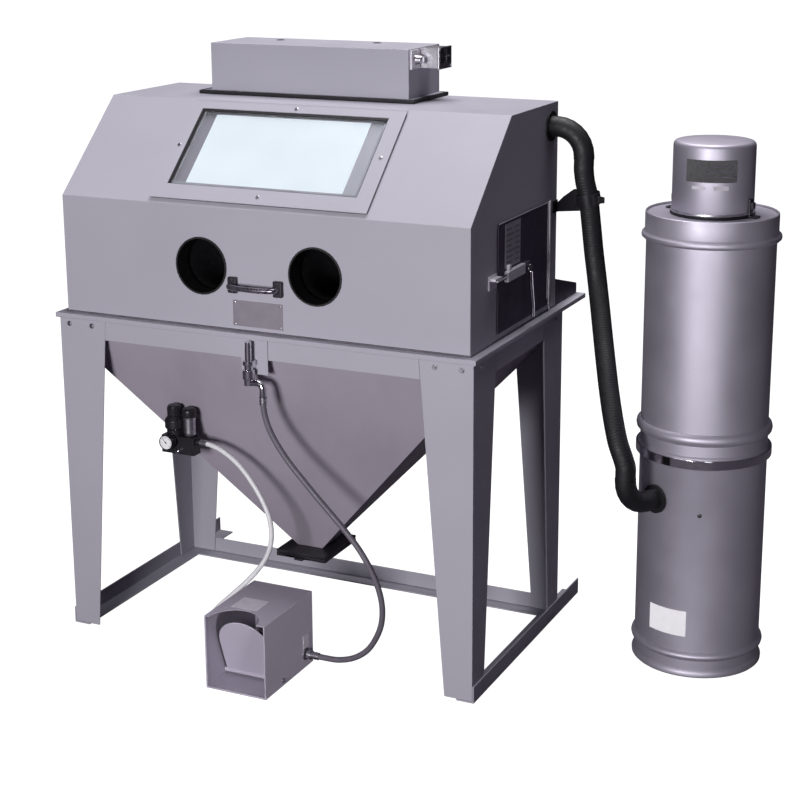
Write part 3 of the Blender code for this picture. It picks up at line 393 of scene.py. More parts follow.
def lathe(profile, base, axis=(0, 0, 1), steps=96, ring=False):
    """Turns (radius, height) points about an axis."""
    axis = Vector(axis).normalized()
    side = axis.orthogonal().normalized()
    other = axis.cross(side)
    return skin([circle(r, steps, Vector(base) + axis * h, side, other) for r, h in profile], ring=ring)


def softened(profile, cut=0.0012, closed=False):
    """Rounds a profile's corners with three points each."""
    points = [Vector((a, b)) for a, b in profile]
    made = []
    last = len(points) - 1
    for k, point in enumerate(points):
        if not closed and k in (0, last):
            made.append(point)
            continue
        before, after = points[k - 1], points[(k + 1) % len(points)]
        a, b = before - point, after - point
        size = min(cut, a.length * 0.45, b.length * 0.45)
        start, end = point + a.normalized() * size, point + b.normalized() * size
        made += [start, (start + end + point * 2) / 4, end]
    return [(p.x, p.y) for p in made]


def route_frames(points):
    """A point, side and up for each point of a route, without twist."""
    points = [Vector(p) for p in points]
    ways = [(b - a).normalized() for a, b in zip(points, points[1:])]
    tangents = [ways[0]] + [(a + b).normalized() for a, b in zip(ways, ways[1:])] + [ways[-1]]
    side = tangents[0].orthogonal().normalized()
    frames = []
    for point, tangent in zip(points, tangents):
        side = (side - tangent * side.dot(tangent)).normalized()
        frames.append((point, side, tangent.cross(side)))
    return frames


def tube(points, radius_at, steps=32):
    """A tube along points. radius_at gives the radius for each point's place in the list."""
    return skin([circle(radius_at(k), steps, *f) for k, f in enumerate(route_frames(points))])


def smooth_route(points, spacing):
    """Points at even spacing along a Catmull-Rom curve through the route's own points."""
    points = [Vector(p) for p in points]
    padded = [2 * points[0] - points[1]] + points + [2 * points[-1] - points[-2]]
    fine = []
    for a, b, c, d in zip(padded, padded[1:], padded[2:], padded[3:]):
        for k in range(24):
            t = k / 24
            fine.append(
                0.5 * (2 * b + (c - a) * t + (2 * a - 5 * b + 4 * c - d) * t * t
                       + (3 * b - a - 3 * c + d) * t ** 3)
            )
    fine.append(points[-1])
    lengths = [0.0]
    for a, b in zip(fine, fine[1:]):
        lengths.append(lengths[-1] + (b - a).length)
    count = max(2, round(lengths[-1] / spacing))
    even, k = [], 0
    for n in range(count + 1):
        want = lengths[-1] * n / count
        while k < len(fine) - 2 and lengths[k + 1] < want:
            k += 1
        share = (want - lengths[k]) / max(lengths[k + 1] - lengths[k], 1e-9)
        even.append(fine[k].lerp(fine[k + 1], min(1.0, share)))
    return even, lengths[-1]


def merged(*shapes):
    """Several bmeshes as one."""
    whole = bmesh.new()
    for shape in shapes:
        mesh = bpy.data.meshes.new("part")
        shape.to_mesh(mesh)
        shape.free()
        whole.from_mesh(mesh)
        bpy.data.meshes.remove(mesh)
    return whole


def screw_head(centre, way, radius=0.005, height=0.0025, slot_turn=0.6):
    """A pan-head screw with a cross recess."""
    way = Vector(way).normalized()
    side = way.orthogonal().normalized()
    other = way.cross(side)
    centre = Vector(centre)
    steps = 24
    rows = [(radius, -0.0002), (radius, height * 0.35), (radius * 0.9, height * 0.75),
            (radius * 0.55, height), (radius * 0.5, height)]
    loops = [circle(r, steps, centre + way * h, side, other) for r, h in rows]
    turns = [2 * math.pi * k / steps for k in range(steps)]
    inner = []
    for t in turns:
        arm = abs(math.cos(2 * (t + slot_turn)))
        r = radius * (0.2 + 0.28 * arm ** 3)
        inner.append(centre + way * height + r * (math.cos(t) * side + math.sin(t) * other))
    floor = [centre + (p - centre - way * height) * 0.8 + way * height * 0.35 for p in inner]
    return skin(loops + [inner, floor])


def hex_head(centre, way, radius=0.007, height=0.0045):
    way = Vector(way).normalized()
    side = way.orthogonal().normalized()
    other = way.cross(side)
    centre = Vector(centre)
    rows = [(radius * 1.25, 0.0, 24), (radius * 1.25, 0.0012, 24)]
    washer = skin([circle(r, n, centre + way * h, side, other) for r, h, n in rows])
    rows = [(radius, 0.0012), (radius, height * 0.85), (radius * 0.9, height)]
    nut = skin([circle(r, 6, centre + way * h, side, other) for r, h in rows])
    return merged(washer, nut)


# ---------------------------------------------------------------- hoses

DUST_ROUTE = [
    (0.6175, 0.4850, 1.1912), (0.6175, 0.4850, 1.1800), (0.6175, 0.4850, 1.1665), (0.6205, 0.4872, 1.1380),
    (0.6275, 0.4932, 1.0999), (0.6345, 0.4978, 1.0346), (0.6417, 0.5000, 0.9688), (0.6535, 0.4925, 0.9062),
    (0.6680, 0.4705, 0.8591), (0.6860, 0.4385, 0.8110), (0.7045, 0.4048, 0.7636), (0.7244, 0.3674, 0.7191),
    (0.7438, 0.3325, 0.6750), (0.7665, 0.2955, 0.6260), (0.7875, 0.2692, 0.5790), (0.8045, 0.2587, 0.5450),
    (0.8122, 0.2566, 0.5240), (0.8129, 0.2564, 0.5110), (0.8129, 0.2564, 0.4973),
]
GREY_ROUTE = [
    (0.031, -0.038, 0.6765), (0.031, -0.038, 0.656), (0.034, -0.037, 0.630), (0.045, -0.035, 0.596),
    (0.064, -0.032, 0.560), (0.090, -0.029, 0.523), (0.124, -0.027, 0.485), (0.162, -0.026, 0.445),
    (0.199, -0.025, 0.408), (0.234, -0.024, 0.372), (0.266, -0.023, 0.335), (0.292, -0.022, 0.295),
    (0.312, -0.020, 0.250), (0.322, -0.018, 0.205), (0.320, -0.016, 0.160), (0.306, -0.014, 0.120),
    (0.280, -0.011, 0.080), (0.243, -0.008, 0.052), (0.200, -0.005, 0.037), (0.160, -0.003, 0.034),
    (0.1268, -0.0020, 0.0340),
]
WHITE_ROUTE = [
    (-0.1965, 0.046, 0.510), (-0.185, 0.046, 0.510), (-0.155, 0.044, 0.506), (-0.120, 0.041, 0.493),
    (-0.082, 0.037, 0.469), (-0.048, 0.033, 0.435), (-0.018, 0.029, 0.395), (0.004, 0.025, 0.350),
    (0.010, 0.020, 0.303), (0.000, 0.014, 0.260), (-0.025, 0.006, 0.220), (-0.058, -0.005, 0.182),
    (-0.088, -0.017, 0.152), (-0.117, -0.025, 0.123), (-0.136, -0.028, 0.097), (-0.141, -0.026, 0.072),
    (-0.132, -0.019, 0.051), (-0.115, -0.010, 0.038), (-0.0930, -0.0035, 0.0342),
    (-0.0780, -0.0020, 0.0340), (-0.0643, -0.0020, 0.0340),
]


def air_hose(name, node, route, diameter, skin_of):
    points, length = smooth_route(route, diameter * 0.6)
    curve = bpy.data.curves.new(name, "CURVE")
    curve.dimensions = "3D"
    curve.bevel_depth = diameter / 2
    curve.bevel_resolution = 6
    curve.use_fill_caps = True
    spline = curve.splines.new("POLY")
    spline.points.add(len(points) - 1)
    for knot, point in zip(spline.points, points):
        knot.co = (*(point + OFFSET), 1.0)
    spline.use_smooth = True
    curve.materials.append(skin_of())
    obj = bpy.data.objects.new(name, curve)
    bpy.context.scene.collection.objects.link(obj)
    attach(obj, "cabinet")
    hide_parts(node)
    return length


def ferrule(name, route, diameter, from_start=True):
    """Crimped metal sleeve over the end of an air hose."""
    points, _ = smooth_route(route, 0.004)
    if not from_start:
        points = points[::-1]
    way = (points[4] - points[0]).normalized()
    r = diameter / 2
    profile = [(r + 0.0002, 0.0002), (r + 0.0022, 0.0004), (r + 0.0022, 0.004), (r + 0.0012, 0.0048),
               (r + 0.0012, 0.0075), (r + 0.0022, 0.0083), (r + 0.0022, 0.012), (r + 0.0012, 0.0128),
               (r + 0.0012, 0.0155), (r + 0.0020, 0.0163), (r + 0.0018, 0.0190), (r + 0.0002, 0.0192)]
    return add(name, lathe(profile, points[0], way, 40, ring=True), zinc())


def dust_hose():
    """Ribbed suction hose as a mesh tube, with a soft cuff at each end."""
    points, length = smooth_route(DUST_ROUTE, 0.0016)
    radius = 0.024
    pitch = length / round(length / 0.0066)

    def radius_at(k):
        along = length * k / (len(points) - 1)
        fade = min(1.0, max(0.0, (along - 0.030) / 0.006), max(0.0, (length - 0.030 - along) / 0.006))
        wave = 0.5 - 0.5 * math.cos(2 * math.pi * along / pitch)
        return radius - 0.0002 - fade * 0.0006 * (1 - wave ** 0.6)

    hose = add("suction_hose", tube(points, radius_at, 40), rubber(), smooth=60,
               replaces=("dust_hose",))
    return length


def hoses():
    grey_ends = [ferrule("grey_hose_ferrule_top", GREY_ROUTE, 0.014),
                 ferrule("grey_hose_ferrule_low", GREY_ROUTE, 0.014, False)]
    white_ends = [ferrule("white_hose_ferrule_top", WHITE_ROUTE, 0.012),
                  ferrule("white_hose_ferrule_low", WHITE_ROUTE, 0.012, False)]
    air_hose("grey_hose", "grey_air_hose", GREY_ROUTE, 0.014, grey_hose_skin)
    air_hose("white_hose", "white_air_hose", WHITE_ROUTE, 0.012, white_hose_skin)
    dust_hose()


hoses()


# ---------------------------------------------------------------- plain sheet-metal pieces

def sheet_metal():
    for node in ("cabinet_shell", "base_flange", "rear_air_box", "window_frame", "light_housing",
                 "side_door",
                 "leg_front_left", "leg_front_right", "leg_rear_left", "leg_rear_right", "apron_front",
                 "apron_rear", "apron_left", "apron_right", "rail_left", "rail_right", "rail_rear",
                 "valve_bracket", "pedal_guard", "pedal_treadle"):
        coat = paint
        # the side door and rear air box take the paint darkened as painted shade
        if node in ("side_door", "rear_air_box"):
            coat = door_paint
        elif "pedal" in node:
            coat = pedal_paint
        refined(node, coat(), 0.0011 if node in ("window_frame", "side_door", "valve_bracket") else 0.0016)
    refined("hopper", hopper_shade_paint(), 0.0014)
    for node in ("hopper_outlet", "clean_out_door"):
        refined(node, dark_paint(), 0.0012)
    for node in ("switch_box", "door_hinge", "work_grate", "filter_bowl", "foot_valve", "blast_gun"):
        refined(node, zinc(), 0.0008)
    for node in ("door_latch_lever", "ring_lever", "air_valve"):
        refined(node, chrome(), 0.0006)
    refined("latch_keeper", plate_metal(), 0.0006)
    for node in ("switch_toggle", "filter_regulator", "regulator_knob", "hose_clamp"):
        refined(node, black_plastic(), 0.0006)
    for node in ("window_gasket", "light_gasket", "head_gasket", "port_elbow", "inlet_elbow",
                 "arm_ring_left", "arm_ring_right", "glove_left", "glove_right"):
        refined(node, rubber(), 0.0)
    refined("window_glass", clear_glass(), 0.0004)
    refined("light_lens", clear_glass(), 0.0004)
    refined("light_tube", glow("lamp_glow", (0.95, 0.97, 1.0), 3.0), 0.0)
    refined("filter_cartridge", surface("filter_paper", (0.70, 0.66, 0.58), rough=(0.8, 0.9), grain=200.0,
                                        grain_depth=0.0004, stretch=(1.0, 1.0, 0.02)), 0.0)
    refined("pressure_gauge", white_hose_skin(), 0.0005)


sheet_metal()


# ---------------------------------------------------------------- window and light box

SLOPE_RISE, SLOPE_RUN = 1.320 - 1.104, 0.233
SLOPE_LENGTH = math.hypot(SLOPE_RISE, SLOPE_RUN)


def on_slope(x, along, out):
    uy, uz = SLOPE_RUN / SLOPE_LENGTH, SLOPE_RISE / SLOPE_LENGTH
    return Vector((x, along * uy - out * uz, 1.104 + along * uz + out * uy))


def slope_sheet(x0, x1, t0, t1, n0, n1):
    corners = ((x0, t0), (x1, t0), (x1, t1), (x0, t1))
    return skin([[on_slope(x, t, n) for x, t in corners] for n in (n0, n1)])


def slope_ring(outer, inner, n0, n1):
    def loop(box, n):
        x0, x1, t0, t1 = box
        return [on_slope(x, t, n) for x, t in ((x0, t0), (x1, t0), (x1, t1), (x0, t1))]
    return skin([loop(outer, n0), loop(outer, n1), loop(inner, n1), loop(inner, n0)], ring=True)


def window_details():
    """Glowing liner behind the glass as painted light, with its left strip in painted shade and its right
    strip in painted light, a black band round the opening as painted shadow, and one screw in the middle of
    each side.
    """
    out = Vector((0, -SLOPE_RISE, SLOPE_RUN)).normalized()
    # Painted light: the centre panel glows to stand for the lit inside; the left strip is the liner in
    # painted shade and the right strip the same liner in painted light.
    lit = glow("lit_liner", (0.87, 0.935, 1.0), 0.74, vary=0.06, patch=6.0)
    grey = surface("liner_shade", (0.30, 0.28, 0.335), rough=(0.5, 0.6), vary=0.05, patch=8.0)
    pale = surface("liner_pale", (0.52, 0.51, 0.57), rough=(0.5, 0.6), vary=0.05, patch=8.0)
    add("window_light_panel", slope_sheet(-0.2155, 0.1970, 0.052, 0.283, -0.0048, -0.0034), lit)
    add("window_liner_left", slope_sheet(-0.262, -0.2159, 0.052, 0.287, -0.0050, -0.0036), grey)
    add("window_liner_right", slope_sheet(0.1974, 0.248, 0.052, 0.287, -0.0050, -0.0036), pale)
    opening = (-0.2558, 0.2418, 0.0542, 0.2848)
    inside = (-0.2480, 0.2405, 0.0552, 0.2775)
    # Painted shadow: a black band inside the frame's opening, widest along the left and top, where the frame
    # throws a shadow gap.
    add("window_seal", slope_ring(opening, inside, 0.0041, 0.0058), rubber(), bevel=0.0004)
    heads = [(-0.0035, 0.0330), (-0.0035, 0.2965), (-0.2720, 0.169), (0.2615, 0.169)]
    add("window_screws", merged(*[screw_head(on_slope(x, t, 0.0071), out, 0.0048, 0.0022)
                                  for x, t in heads]), zinc())


def light_box_details():
    """Black seal edge, knockout plugs, end connector and the end plate's screws."""
    x0, x1, y0, y1 = -0.3455, 0.2445, 0.3365, 0.5355
    def loop(grow, z):
        return [(x0 - grow, y0 - grow, z), (x1 + grow, y0 - grow, z), (x1 + grow, y1 + grow, z),
                (x0 - grow, y1 + grow, z)]
    edge = skin([loop(0.0, 1.3204), loop(0.0008, 1.3215), loop(0.0008, 1.3285), loop(-0.0004, 1.3293),
                 loop(-0.006, 1.3293), loop(-0.006, 1.3285), loop(-0.0004, 1.3283), loop(-0.0004, 1.3204)],
                ring=True)
    add("light_seal_edge", edge, rubber())
    plugs = []
    for x, y in ((-0.190, 0.475), (0.075, 0.488)):
        rim = softened([(0.0005, 1.4461), (0.0105, 1.4461), (0.0105, 1.4468), (0.0075, 1.4472),
                        (0.0005, 1.4472)], 0.0004)
        plugs.append(lathe(rim, (x, y, 0), steps=40))
    add("light_knockouts", merged(*plugs), dark_paint())
    nut = [(0.0005, 0.0), (0.0125, 0.0), (0.0125, 0.006), (0.0105, 0.008), (0.0105, 0.020), (0.0085, 0.023),
           (0.0005, 0.023)]
    add("light_connector", lathe(softened(nut, 0.0008), (0.2243, 0.380, 1.420), (1, 0, 0), 32), zinc())
    heads = [screw_head((0.2787, y, z), (1, 0, 0), 0.0028, 0.0014)
             for y, z in ((0.4095, 1.4425), (0.4745, 1.4008))]
    add("switch_screws", merged(*heads), zinc())
    face = block((0.2780, 0.4120, 1.410), (0.2790, 0.4335, 1.444))
    add("switch_face", merged(face, block((0.2780, 0.4505, 1.410), (0.2790, 0.4720, 1.444))),
        black_plastic(), bevel=0.0004)
    add("light_wiring_plate", block((0.2240, 0.356, 1.398), (0.2300, 0.402, 1.4435)), plate_metal(),
        bevel=0.0015, segments=3)


def front_details():
    """Blank name plate with four rivets, and the front handle's brackets, screws and bar."""
    add("name_plate", block((-0.065, -0.0016, 0.829), (0.067, 0.0004, 0.890)),
        surface("name_plate_face", (0.30, 0.275, 0.315), rough=(0.35, 0.5), metallic=0.3, vary=0.06,
                patch=30.0, grain=500.0, grain_depth=0.00003, stretch=(10.0, 1.0, 1.0)), bevel=0.0005)
    rivets = [screw_head((x, -0.0015, z), (0, -1, 0), 0.0026, 0.0013) for x in (-0.059, 0.061)
              for z in (0.834, 0.885)]
    add("name_plate_rivets", merged(*rivets), zinc())
    heads = [screw_head((x, -0.0098, z), (0, -1, 0), 0.0034, 0.0020) for x in (-0.062, 0.058)
             for z in (0.9125, 0.9395)]
    add("handle_screws", merged(*heads), dark_paint())
    ends = (-0.062, 0.058)
    plates = [block((x - 0.012, -0.010, 0.907), (x + 0.012, -0.0003, 0.945)) for x in ends]
    add("handle_brackets", merged(*plates), dark_paint(), bevel=0.003, segments=4)
    bar = [Vector((ends[0], -0.010, 0.926)), Vector((ends[0], -0.019, 0.926)),
           Vector((ends[0] + 0.003, -0.0255, 0.9257))]
    for k in range(1, 16):
        share = k / 16
        bar.append(Vector((ends[0] + 0.012 + (ends[1] - ends[0] - 0.024) * share,
                           -0.028 - 0.024 * share * (1 - share), 0.9255)))
    bar += [Vector((ends[1] - 0.003, -0.0255, 0.9257)), Vector((ends[1], -0.019, 0.926)),
            Vector((ends[1], -0.010, 0.926))]
    bar, _ = smooth_route(bar, 0.003)
    add("front_handle_bar", tube(bar, lambda k: 0.0064, 32), handle_steel(), smooth=50,
        replaces=("front_handle",))


window_details()
light_box_details()
front_details()


# ---------------------------------------------------------------- side door

DOOR_FACE = HALF_WIDTH + 0.0012


def side_details():
    """Pale strips as painted highlights on the door's top and rear edges and on the wall's bent edge behind
    it, a blank label, the latch stub and the keeper's screws.
    """
    out = DOOR_FACE + 0.0030
    door_top, door_rear = 1.0876, 0.4662
    # Painted highlight: pale metal strips along the door's top and rear edges, where the lit edges catch the
    # light.
    top = block((out - 0.0006, 0.152, 1.0850), (out + 0.0009, 0.4660, door_top))
    back = block((out - 0.0006, 0.4610, 0.850), (out + 0.0014, door_rear, door_top))
    add("door_edges", merged(top, back), plate_metal(), body="door", bevel=0.0005)
    # Painted highlight: a pale strip down the bent edge behind the door, rounding into the flange.
    strip = [(HALF_WIDTH + 0.0004, 0.4770, z) for z in (1.085, 1.0, 0.93, 0.87)]
    strip += [(HALF_WIDTH + 0.0006 + 0.0004 * k, 0.4770 + 0.0045 * (k / 6) ** 2, 0.87 - 0.0085 * k)
              for k in range(1, 7)]
    shape = skin([[(x, y - 0.0024, z), (x + 0.0022, y - 0.0018, z), (x + 0.0022, y + 0.0018, z),
                   (x, y + 0.0024, z)]
                  for x, y, z in strip])
    add("door_rear_trim", shape, plate_metal(), smooth=40)
    pad = surface("label_film", (0.34, 0.32, 0.37), rough=(0.3, 0.4), vary=0.08, patch=60.0)
    add("door_label", block((out + 0.0008, 0.1855, 0.9785), (out + 0.0016, 0.2795, 1.0795)), pad,
        body="door")
    ink = surface("label_ink", (0.16, 0.145, 0.18), rough=(0.35, 0.45), vary=0.1, patch=60.0)
    bars = []
    bar_back, bar_front, bar_height = out + 0.0014, out + 0.0018, 0.0036
    for k in range(7):
        z = 0.988 + 0.0127 * k
        for y0, y1 in ((0.194, 0.225 + 0.007 * (k % 3)), (0.244 + 0.004 * (k % 2), 0.272)):
            bars.append(block((bar_back, y0, z), (bar_front, y1, z + bar_height)))
    add("door_label_bars", merged(*bars), ink, body="door")
    latch = merged(block((out - 0.0002, 0.1850, 0.9480), (out + 0.0112, 0.2900, 0.9730)),
                   block((out - 0.0002, 0.1955, 0.9725), (out + 0.0090, 0.2080, 0.9855)))
    add("door_latch_case", latch, plate_metal(), body="door", bevel=0.0022, segments=4)
    bolt = softened([(0.0005, 0.0), (0.0035, 0.0), (0.0035, 0.0580), (0.0025, 0.0600), (0.0005, 0.0600)],
                    0.0008)
    add("door_latch_bolt", lathe(bolt, (out + 0.0045, 0.1895, 0.9610), (0, -1, 0), 28), plate_metal(),
        body="door")
    heads = [screw_head((out + 0.0109, y, 0.9604), (1, 0, 0), 0.0030, 0.0005) for y in (0.2150, 0.2760)]
    add("door_latch_screws", merged(*heads), zinc(), body="door")
    barrel = [(0.0005, 0.0), (0.0046, 0.0), (0.0046, 0.0008), (0.0036, 0.0022), (0.0005, 0.0026)]
    ends = [lathe(softened(barrel, 0.0004), (0.5386, 0.4730, z), (0, 0, way), 24)
            for z, way in ((1.0882, 1), (0.8338, -1))]
    add("hinge_pin_ends", merged(*ends), zinc())


# ---------------------------------------------------------------- air set

def air_details():
    """Gauge dial, the black cap and rings of the filter, the drain, and knob grips."""
    face = Vector((-0.268, 0.0031, 0.5130))
    dial_radius = 0.0148
    way, side, up = Vector((0, -1, 0)), Vector((1, 0, 0)), Vector((0, 0, 1))
    case = [(0.0172, -0.0165), (0.0188, -0.0160), (0.0188, 0.0008), (0.0180, 0.0018), (0.0168, 0.0016),
            (0.0162, 0.0)]
    add("gauge_case", lathe(softened(case, 0.0004), face, way, 48, ring=True), black_plastic())
    dial = surface("gauge_dial", (0.88, 0.88, 0.90), rough=(0.25, 0.35), vary=0.03, patch=80.0)
    add("gauge_dial", lathe([(0.0003, 0.0), (0.0163, 0.0), (0.0163, 0.0006), (0.0003, 0.0006)], face, way,
                            48), dial)
    marks = []
    for k in range(25):
        turn = math.radians(225 - 270 * k / 24)
        long = 0.0032 if k % 4 == 0 else 0.0018
        ray = side * math.cos(turn) + up * math.sin(turn)
        across = side * -math.sin(turn) + up * math.cos(turn)
        wide = 0.00035 if k % 4 == 0 else 0.0002
        loops = []
        for h in (0.0005, 0.0009):
            base = face + way * h
            near, far = base + ray * (dial_radius - long), base + ray * dial_radius
            edge = across * wide
            loops.append([near - edge, far - edge, far + edge, near + edge])
        marks.append(skin(loops))
    turn = math.radians(130)
    ray = side * math.cos(turn) + up * math.sin(turn)
    across = side * -math.sin(turn) + up * math.cos(turn)
    needle = []
    for h in (0.0010, 0.0014):
        base = face + way * h
        needle.append([base - ray * 0.004 - across * 0.0008, base + ray * 0.0125 - across * 0.0002,
                       base + ray * 0.0125 + across * 0.0002, base - ray * 0.004 + across * 0.0008])
    hub = lathe([(0.0003, 0.0008), (0.0020, 0.0008), (0.0018, 0.0018), (0.0003, 0.0018)], face, way, 20)
    add("gauge_marks", merged(*marks, skin(needle), hub), black_plastic())
    axis, knob_axis = (-0.226, 0.046, 0.0), Vector((-0.268, 0.046, 0))
    cap = [(0.0004, 0.5722), (0.0180, 0.5722), (0.0180, 0.5885), (0.0165, 0.5915), (0.0135, 0.5945),
           (0.0004, 0.5948)]
    add("filter_cap", lathe(softened(cap, 0.0012), axis, steps=48), black_plastic(), smooth=35)
    band = [(0.0140, 0.5290), (0.0156, 0.5295), (0.0156, 0.5325), (0.0140, 0.5330)]
    top = [(0.0145, 0.5665), (0.0157, 0.5670), (0.0157, 0.5700), (0.0145, 0.5705)]
    add("filter_bands", merged(lathe(band, axis, steps=48, ring=True),
                               lathe(top, axis, steps=48, ring=True)), chrome())
    grips = []
    for k in range(20):
        turn = 2 * math.pi * k / 20
        spot = knob_axis + Vector((math.cos(turn), math.sin(turn), 0)) * 0.0163
        grips.append(lathe([(0.0004, 0.5730), (0.0013, 0.5734), (0.0013, 0.5920), (0.0004, 0.5930)], spot,
                           steps=10))
    add("regulator_grips", merged(*grips), black_plastic(), body="regulator_knob")
    drain = [(0.0004, 0.0), (0.0062, 0.0), (0.0062, 0.004), (0.0045, 0.006), (0.0045, 0.012),
             (0.0004, 0.013)]
    add("block_plug", lathe(softened(drain, 0.0006), (-0.2480, 0.0312, 0.4875), (0, -1, 0), 28), chrome())
    heads = [hex_head((x, 0.0310, 0.4860), (0, -1, 0), 0.0042, 0.0035) for x in (-0.2880, -0.2160)]
    add("block_bolts", merged(*heads), dark_paint())


# ---------------------------------------------------------------- foot pedal

def pedal_details():
    """Blank label, hem round the front opening, pivot nuts, a side tag and the hose fittings."""
    label = surface("pedal_label", (0.66, 0.63, 0.70), rough=(0.35, 0.5), vary=0.08, patch=60.0, specks=0.3)
    add("pedal_label_plate", block((-0.0185, -0.128, 0.1818), (0.0500, -0.066, 0.1824)), label)
    hem = []
    for x0, x1 in ((-0.0496, -0.0466), (0.1066, 0.1096)):
        hem.append(block((x0, -0.1966, 0.002), (x1, -0.1915, 0.180)))
    hem.append(block((-0.0496, -0.1966, 0.0006), (0.1096, -0.1915, 0.0040)))
    add("pedal_hem", merged(*hem), pedal_paint(), bevel=0.0006)
    nut = [(0.0090, 0.0), (0.0138, 0.0), (0.0138, 0.0035), (0.0120, 0.0045), (0.0120, 0.0090),
           (0.0090, 0.0095)]
    add("pedal_hose_nut", lathe(softened(nut, 0.0006), (0.1103, -0.002, 0.034), (1, 0, 0), 6, ring=True),
        dark_paint())
    cover = [(0.0125, 0.0), (0.0150, 0.0), (0.0150, 0.0016), (0.0125, 0.0016)]
    add("pedal_hose_rosette", lathe(cover, (0.1101, -0.002, 0.034), (1, 0, 0), 40, ring=True), zinc())
    tall = block((0.1101, -0.0165, 0.0500), (0.1118, 0.0125, 0.0860))
    add("pedal_side_tag", tall, plate_metal(), bevel=0.0008)
    bolts = [hex_head((x, -0.115, 0.014), (way, 0, 0), 0.0048, 0.004)
             for x, way in ((0.1100, 1), (-0.0500, -1))]
    add("pedal_pivot_nuts", merged(*bolts), zinc())


# ---------------------------------------------------------------- stand

def stand_details():
    """Bolts through the aprons, legs and rails, and a bead where the walls meet the table, coloured dark as
    painted shadow along the seam.
    """
    bolt = (0.0052, 0.0042)
    front_face, side_face = -0.0155, 0.5484
    apron_z, rail_z = 0.790, 0.020
    heads = [hex_head((x, front_face, apron_z), (0, -1, 0), *bolt) for x in (-0.520, -0.455, 0.455, 0.520)]
    for y, rail_y in ((0.030, 0.042), (0.500, 0.488)):
        for bolt_y, z in ((y, apron_z), (rail_y, rail_z)):
            heads += [hex_head((way * side_face, bolt_y, z), (way, 0, 0), *bolt) for way in (1, -1)]
    add("stand_bolts", merged(*heads), zinc())
    # Painted shadow: the bead along the seam is coloured dark for the shade where the walls meet the table.
    bead_shade = surface("seam_shadow", (0.11, 0.10, 0.125), rough=(0.6, 0.8), vary=0.3, patch=30.0)
    w, rear = HALF_WIDTH, 0.534

    def loop(grow, z):
        return [(-w - grow, -grow, z), (w + grow, -grow, z), (w + grow, rear + grow, z),
                (-w - grow, rear + grow, z)]

    bead = skin([loop(-0.0008, 0.8168), loop(0.0028, 0.8168), loop(0.0024, 0.8190), loop(0.0010, 0.8205),
                 loop(-0.0008, 0.8208)],
                ring=True)
    add("table_seal_bead", bead, bead_shade, smooth=50)


# ---------------------------------------------------------------- drum fittings

DRUM = Vector((0.934, 0.474, 0.0))


def outward(turn):
    """The level direction at this bearing from the drum's axis."""
    return Vector((math.cos(turn), math.sin(turn), 0))


def drum_fittings():
    """Blank labels wrapped on the shells, the head's clips, a small plug on the drum and a bead at the
    head's base.
    """
    def wrapped(name, radius, bearing, half_angle, z0, z1, mat, lean=0.0, thick=0.0006):
        steps = 18
        loops = []
        for r in (radius - 0.0003, radius + thick):
            low, high = [], []
            for k in range(steps + 1):
                turn = bearing - half_angle + 2 * half_angle * k / steps
                drop = lean * (k / steps - 0.5)
                spot = DRUM + outward(turn) * r
                low.append(spot + Vector((0, 0, z0 + drop)))
                high.append(spot + Vector((0, 0, z1 + drop)))
            loops.append(low + high[::-1])
        return add(name, skin(loops), mat, smooth=30)

    towards = math.radians(-75.1)
    head_skin, film_skin, drum_skin = 0.0935, 0.0941, 0.149
    print_depth = 0.0003
    film = surface("black_label_film", (0.012, 0.011, 0.015), rough=(0.25, 0.4), vary=0.3, patch=40.0)
    wrapped("head_label", head_skin, towards - 0.063, 0.640, 1.1720, 1.2225, film)
    pale = surface("pale_print", (0.62, 0.60, 0.66), rough=(0.35, 0.5), vary=0.1, patch=60.0)
    dim = surface("dim_print", (0.10, 0.095, 0.115), rough=(0.35, 0.5), vary=0.3, patch=60.0)
    for k in range(3):
        z = 1.1830 + 0.0120 * k
        wrapped(f"head_label_bar_{k}", film_skin, towards + 0.14, 0.30 - 0.03 * k, z, z + 0.0042, dim,
                thick=print_depth)
    wrapped("head_mark_left", head_skin, towards - 0.36, 0.17, 1.1560, 1.1630, pale, thick=print_depth)
    wrapped("head_mark_right", head_skin, towards + 0.19, 0.18, 1.1545, 1.1640, pale, thick=print_depth)
    cream = surface("cream_label", (0.86, 0.85, 0.88), rough=(0.35, 0.5), vary=0.03, patch=60.0)
    wrapped("drum_label", drum_skin, math.radians(-103.5), 0.330, 0.1010, 0.1640, cream)
    plug = softened([(0.0004, 0.0), (0.0052, 0.0), (0.0048, 0.0018), (0.0004, 0.0022)], 0.0005)
    plug_way = outward(math.radians(-76))
    plug_spot = DRUM + plug_way * 0.1489 + Vector((0, 0, 0.405))
    add("drum_plug", lathe(plug, plug_spot, plug_way, 24), dark_paint())
    clips = []
    for degrees in (-14, 166):
        turn = math.radians(degrees)
        out = outward(turn)
        side = Vector((-math.sin(turn), math.cos(turn), 0))
        base = DRUM + out * 0.0945
        for z0, z1, near, far, half in ((1.0885, 1.1300, 0.0, 0.0050, 0.0080),
                                        (1.0880, 1.0925, 0.0, 0.0230, 0.0100),
                                        (1.1080, 1.1230, 0.004, 0.0115, 0.0060)):
            loops = []
            for z in (z0, z1):
                loops.append([base + out * near - side * half + Vector((0, 0, z)),
                              base + out * far - side * half + Vector((0, 0, z)),
                              base + out * far + side * half + Vector((0, 0, z)),
                              base + out * near + side * half + Vector((0, 0, z))])
            clips.append(skin(loops))
    add("head_clips", merged(*clips), dark_paint(), bevel=0.0008)
    bead = [(0.0925, 1.0938), (0.0952, 1.0940), (0.0958, 1.0965), (0.0952, 1.0990), (0.0925, 1.0992)]
    add("head_base_bead", lathe(bead, DRUM, steps=96, ring=True), zinc())


side_details()
air_details()
pedal_details()
stand_details()


# ---------------------------------------------------------------- drum

